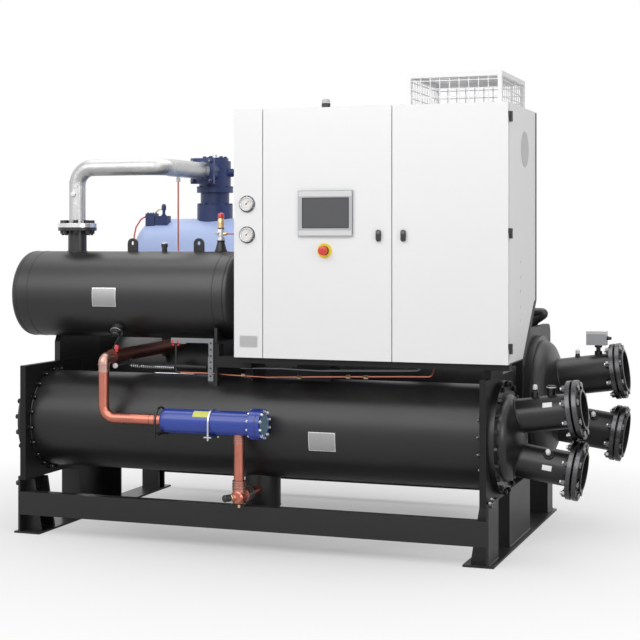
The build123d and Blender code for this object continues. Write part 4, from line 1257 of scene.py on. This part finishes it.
class CHILLER_OT_cabinet_front(Operator):
    """Put the dials, the screen, the button and the plates on the cabinet's front"""

    bl_idname = "chiller.cabinet_front"
    bl_label = "Fit Out the Cabinet Front"

    def execute(self, context):
        self.dials()
        self.screen()
        self.button()
        self.locks()
        self.plates()
        self.seals()
        return {"FINISHED"}

    def dials(self):
        piece = Piece("pressure_dials")
        centre = middle("gauges")
        low, high = spans("gauges")
        for z, turn in ((high.z - 42, 45), (low.z + 42, 38)):
            face = at(centre.x, low.y, z, FRONT)
            flange, front = raised(face, -10), raised(face, 1.2)
            piece.ring(raised(face, -4), 30.5, 34.6, 9, 1.6, "steel", 64)
            piece.ring(flange, 35.2, 42.4, 1, 0.4, "rim_steel", 64)
            piece.disc(face, 31, 1.2, 0, "dial_white", 64)
            tick_marks(piece, front)
            piece.ring(front, 27.2, 27.9, 0.3, 0, "ink_black", 64)
            piece.ring(front, 17, 17.8, 0.3, 0, "ink_red", 64)
            needle = raised(front @ Matrix.Rotation(math.radians(turn), 4, "Z"), 0.8)
            piece.prism(needle, [(-8, -1.4), (23, -0.4), (23, 0.4), (-8, 1.4)], 0.6, "ink_black")
            piece.disc(front, 3.4, 2.2, 0.6, "ink_black", 20)
            for place in round_about(flange, 39, 3, 90):
                piece.disc(place, 2.6, 2.4, 0.8, "zinc", 14)
        piece.place("machine", "gauge")

    def screen(self):
        piece = Piece("touch_screen_dress")
        low, high = spans("touch_screen")
        centre = middle("touch_screen")
        front = at(centre.x, low.y, centre.z, FRONT)
        wide, tall = high.x - low.x, high.z - low.z
        piece.pad(raised(front, -9), (wide, tall, 9), 9.8, "grey_plastic", 2)
        for side in (-1, 1):
            strip = front @ Matrix.Translation((0, side * (tall / 2 - 17), 0.8))
            piece.pad(strip, (wide - 8, 25, 4), 0.8, "pale_plastic", 0.4)
        glass = front @ Matrix.Translation((2, 2, 0))
        piece.pad(raised(glass, 0.8), (242, 150, 5), 0.6, "ink_black", 0.2)
        piece.pad(raised(glass, 1.4), (234, 142, 3), 0.4, "screen_glass")
        piece.place("left_door", "screen")

    def button(self):
        low, high = spans("stop_button")
        centre = middle("stop_button")
        radius = (high.z - low.z) / 2
        piece = Piece("stop_button_dress")
        cap = [(0, 0), (radius - 2, 0), (radius - 5, 2), (radius - 10, 3), (0, 3.6)]
        piece.lathe(at(centre.x, low.y, centre.z, FRONT), cap, "red_plastic", 48)
        piece.place("stop_button", "red_plastic")
        seat = Piece("stop_collar_dress")
        place = at(centre.x, spans("stop_collar")[0].y, centre.z, FRONT)
        seat.ring(place, 24, 35, 1.2, 0.6, "yellow_plastic", 64)
        seat.ring(place, 15.5, 23, 1.6, 0.6, "ink_black", 48)
        seat.place("left_door", "yellow_plastic")

    def locks(self):
        for side in ("left", "right"):
            piece = Piece(side + "_lock_dress")
            low, high = spans(side + "_door_lock")
            centre = middle(side + "_door_lock")
            face = at(centre.x, low.y, high.z - 12, FRONT)
            piece.ring(face, 6.5, 9, 1, 0.4, "dark_steel", 32)
            piece.disc(raised(face, -0.4), 6.6, 1, 0, "dark_steel", 32)
            piece.pad(raised(face, 0.6), (1.6, 8, 0.6, 3), 0.3, "ink_black")
            grip = at(centre.x, low.y, centre.z - 10, FRONT)
            piece.pad(grip, (12, 26, 5), 1.6, "black_plastic", 0.7)
            piece.place(side + "_door", "black_plastic")

    def plates(self):
        piece = Piece("bare_front_plate")
        x, y, z = 47, spans("gauge_panel")[0].y, 1037
        place = at(x, y, z, FRONT)
        piece.pad(place, (98, 60, 3), 0.8, "pale_plastic", 0.3)
        piece.pad(place, (92, 54, 2), 1.2, "grey_plate_and_painted_shadow", 0.3)
        for dx, dz in four_corners(43, 24):
            piece.disc(at(x + dx, y - 1, z + dz, FRONT), 2.2, 1.2, 0.5, "zinc", 14)
        piece.place("machine")

    def seals(self):
        """Rubber strips that the doors close on."""
        piece = Piece("door_seals")
        wide, front = 12, spans("cabinet_top")[0].y
        near, far = front - 2.2, front + 3
        for left, right in ((136, 756), (820, 1340)):
            for x in (left, right - wide):
                piece.block((x, near, 970), (x + wide, far, 2174), "rubber", 0.8)
            for z in (964, 2164):
                piece.block((left, near, z), (right, far, z + wide), "rubber", 0.8)
        piece.place("machine")


class CHILLER_OT_cabinet_outside(Operator):
    """Fit edges, plugs, screws and the small parts on the cabinet's other sides"""

    bl_idname = "chiller.cabinet_outside"
    bl_label = "Fit Out the Cabinet Sides"

    def execute(self, context):
        self.edge_strips()
        self.side_parts()
        self.top_parts()
        self.back_parts()
        return {"FINISHED"}

    def edge_strips(self):
        """Black strips up the back edge, down the slanted edge and along the foot of both sides."""
        piece = Piece("cabinet_edge_strips")
        low, high = spans("cabinet_sides")
        slope_low, slope_high = spans("cabinet_slope")
        back, bend, foot = high.y, slope_high.z, slope_low.y
        thick, upright, slanted = 1.6, 26, 54
        rim = [(back, bend), (foot, slope_low.z), (foot - slanted, slope_low.z), (back - slanted, bend)]
        for x, side in ((low.x, -1), (high.x, 1)):
            near, far = sorted((x, x + side * thick))
            piece.block((near, back - upright, bend), (far, back + 0.2, high.z - 2), "ink_black", 0.3)
            outline = [(y * side, z) for y, z in rim]
            piece.prism(at(x, 0, 0, X_AXIS * side), outline, thick, "rubber", 0.3)
            piece.block((near, low.y + 2, low.z), (far, foot, low.z + 5), "ink_black", 0.3)
        piece.place("machine")

    def side_parts(self):
        piece = Piece("side_hole_plugs_and_painted_shadows")
        side = spans("cabinet_sides")[1].x
        for z in (1434, 1363, 1293, 1219, 1152):
            place = at(side, -516, z, X_AXIS)
            # A grey disc under each white plug, wider than the plug, is a painted shadow round its edge
            piece.disc(place, 7.5, 1, 0.3, "grey_plate_and_painted_shadow", 24)
            piece.lathe(place, [(0, 1), (6, 1), (5, 2.6), (3, 3.4), (0, 3.6)], "cabinet_white", 24)
        piece.disc(at(side, -420, 1985, X_AXIS), 88, 1.2, 0.5, "disc_grey", 64)
        piece.place("machine", "cabinet_white")

    def top_parts(self):
        piece = Piece("cabinet_top_parts")
        top = spans("cabinet_top")[1].z
        piece.turned(
            at(384, -600, top),
            ([(0, 0), (26, 0), (26, 6), (22, 8), (22, 38), (0, 38)], "black_plastic", 32),
            ([(0, 38), (20, 38), (20, 41), (0, 41)], "pale_plastic", 32),
            ([(0, 41), (21, 41), (21, 52), (18, 58), (9, 61), (0, 61)], "grey_plastic", 32),
        )
        stud = [(0, 0), (12, 0), (12, 4), (6, 6), (6, 14), (0, 15)]
        piece.lathe(at(800, -680, top), stud, "zinc", 20)
        low, high = spans("cage")
        for x in (low.x + 10, high.x - 10):
            for y in (low.y + 10, high.y - 10):
                piece.pad(at(x, y, top), (30, 30, 3), 3, "cabinet_white", 0.8)
        piece.place("machine", "cabinet_white")

    def back_parts(self):
        piece = Piece("cabinet_back_screws")
        low, high = spans("cabinet_back")
        for z in (low.z + 30, (low.z + high.z) / 2, high.z - 30):
            for i in range(6):
                x = low.x + 20 + (high.x - low.x - 40) * i / 5
                piece.disc(at(x, high.y, z, Y_AXIS), 6, 2.6, 1.4, "zinc", 18)
        piece.place("machine")


class CHILLER_OT_feet_fittings(Operator):
    """Bolt the shells' feet and the rails"""

    bl_idname = "chiller.feet_fittings"
    bl_label = "Bolt the Feet"

    def execute(self, context):
        piece = Piece("foot_bolts")
        web = spans("right_foot")[1].x - 24
        small = [at(web, y, z, X_AXIS) for y, z in ((-790, 304), (-768, 288), (-742, 300), (-756, 318))]
        nuts(piece, small, 19, "bolt_steel", stud=5, stud_finish="bolt_steel")
        large = [at(side * web, y, 262, X_AXIS * side) for side in (-1, 1) for y in (756, 700)]
        large += [at(-web, y, 262, -X_AXIS) for y in (-786, -750)]
        nuts(piece, large, 24, "black_steel", stud=4)
        piece.place("machine")
        return {"FINISHED"}


# Floor, light and camera: sizes here are in metres from the middle of the base

WHITE = (1, 1, 1, 1)
FLOOR_SIZE = 60
CAMERA_X, CAMERA_Y = 2.843, -7.596
CAMERA_TURN = math.radians(19.6)
CAMERA_SHIFT = -0.128
# Name, place, width and height, watts, and what the lamp points at
LAMPS = (
    ("overhead", (0.3, 0.6, 4.8), (7.0, 3.6), 118, (0.3, 0.2, 1.0)),
    ("top_strip", (0.5, -2.4, 3.5), (5.0, 0.8), 26, (0.5, -0.5, 0.6)),
    ("front_high", (-1.2, -5.4, 4.0), (7.0, 3.0), 137, (0.0, 0.0, 1.0)),
    ("right_fill", (5.6, -4.2, 2.4), (2.0, 2.6), 60, (0.6, 0.0, 1.0)),
)


class CHILLER_OT_stage(Operator):
    """Set the floor, the light and the camera"""

    bl_idname = "chiller.stage"
    bl_label = "Set the Stage"

    def execute(self, context):
        build_floor()
        build_world()
        build_lamps()
        build_camera()
        return {"FINISHED"}


def build_floor():
    """A pale floor that turns to plain white away from the machine."""
    bpy.ops.mesh.primitive_plane_add(size=FLOOR_SIZE, location=(BASE.x, BASE.y, 0))
    floor = bpy.context.object
    floor.name = "floor"
    graph, shader = start_finish("floor")
    skin = toned(graph, bpy.context.scene.chiller_stage.floor, 2.0, 0.6, 0.015)[1]
    graph.join(skin, shader.inputs["Base Color"])
    shader.inputs["Roughness"].default_value = 0.85
    shader.inputs["Specular IOR Level"].default_value = 0.1
    away = graph.add("VectorMath", [(0, graph.where())], operation="LENGTH").outputs["Value"]
    path = graph.add("LightPath").outputs
    mirrored = graph.math("MAXIMUM", path["Is Glossy Ray"], path["Is Transmission Ray"])
    near_white = graph.math("MULTIPLY", graph.spread(away, 0.8, 3.0, 0.35, 1.0), path["Is Camera Ray"])
    far_white = graph.math("MULTIPLY", graph.spread(away, 6.0, 9.0), mirrored)
    amount = graph.math("MAXIMUM", near_white, far_white)
    white = graph.add("Emission", [("Color", WHITE), ("Strength", 1.0)]).outputs[0]
    mixed = graph.add("MixShader", [(0, amount), (1, shader.outputs[0]), (2, white)]).outputs[0]
    output = next(node for node in graph.tree.nodes if node.type == "OUTPUT_MATERIAL")
    graph.join(mixed, output.inputs["Surface"])
    floor.data.materials.append(finishes["floor"])


def build_world():
    """Plain light from all sides, and pure white for what the camera, a mirror or glass sees."""
    world = bpy.data.worlds.new("studio")
    world.use_nodes = True
    bpy.context.scene.world = world
    graph = Graph(world.node_tree)
    output = next(node for node in world.node_tree.nodes if node.type == "OUTPUT_WORLD")
    plain = graph.add("Background", [("Color", WHITE), ("Strength", 0.3)]).outputs[0]
    white = graph.add("Background", [("Color", WHITE), ("Strength", 1.0)]).outputs[0]
    path = graph.add("LightPath").outputs
    seen = graph.math("MAXIMUM", path["Is Camera Ray"], path["Is Glossy Ray"])
    seen = graph.math("MAXIMUM", seen, path["Is Transmission Ray"])
    mixed = graph.add("MixShader", [(0, seen), (1, plain), (2, white)]).outputs[0]
    graph.join(mixed, output.inputs["Surface"])


def build_lamps():
    for name, place, size, watts, target in LAMPS:
        data = bpy.data.lights.new(name, "AREA")
        data.shape = "RECTANGLE"
        data.size, data.size_y = size
        data.energy = watts
        lamp = bpy.data.objects.new(name, data)
        bpy.context.scene.collection.objects.link(lamp)
        lamp.location = BASE + Vector(place)
        lamp.visible_camera = False
        aim = BASE + Vector(target) - lamp.location
        lamp.rotation_euler = aim.to_track_quat("-Z", "Y").to_euler()


def build_camera():
    stage = bpy.context.scene.chiller_stage
    data = bpy.data.cameras.new("photo_view")
    data.sensor_width = 36
    data.lens = stage.lens
    data.shift_y = CAMERA_SHIFT
    camera = bpy.data.objects.new("photo_view", data)
    bpy.context.scene.collection.objects.link(camera)
    camera.location = BASE + Vector((CAMERA_X, CAMERA_Y, stage.eye_height))
    camera.rotation_euler = (math.radians(90), 0, CAMERA_TURN)
    bpy.context.scene.camera = camera
    bpy.context.scene.view_settings.view_transform = "Standard"


class CHILLER_PT_panel(Panel):
    """Lists the pieces that can be made on the chiller's frame"""

    bl_idname = "CHILLER_PT_panel"
    bl_label = "Screw Chiller"
    bl_space_type = "VIEW_3D"
    bl_region_type = "UI"
    bl_category = "Chiller"

    def draw(self, context):
        scene = context.scene
        for group in (scene.chiller_paints, scene.chiller_hardware, scene.chiller_stage):
            box = self.layout.box()
            for name in group.__annotations__:
                box.prop(group, name)
        for step in STEPS:
            self.layout.operator(step.bl_idname)


STEPS = (
    CHILLER_OT_finishes,
    CHILLER_OT_head_bolts,
    CHILLER_OT_water_flanges,
    CHILLER_OT_welds,
    CHILLER_OT_separator_fittings,
    CHILLER_OT_discharge_fittings,
    CHILLER_OT_liquid_fittings,
    CHILLER_OT_small_pipes,
    CHILLER_OT_sensors,
    CHILLER_OT_cabinet_front,
    CHILLER_OT_cabinet_outside,
    CHILLER_OT_feet_fittings,
    CHILLER_OT_stage,
)
GROUPS = (ChillerPaints, ChillerHardware, ChillerStage)


def register():
    for cls in (*GROUPS, *STEPS, CHILLER_PT_panel):
        bpy.utils.register_class(cls)
    bpy.types.Scene.chiller_paints = PointerProperty(type=ChillerPaints)
    bpy.types.Scene.chiller_hardware = PointerProperty(type=ChillerHardware)
    bpy.types.Scene.chiller_stage = PointerProperty(type=ChillerStage)


def unregister():
    for name in ("chiller_paints", "chiller_hardware", "chiller_stage"):
        delattr(bpy.types.Scene, name)
    for cls in reversed((*GROUPS, *STEPS, CHILLER_PT_panel)):
        bpy.utils.unregister_class(cls)


def main():
    register()
    for step in STEPS:
        area, name = step.bl_idname.split(".")
        getattr(getattr(bpy.ops, area), name)()


if __name__ == "__main__":
    main()
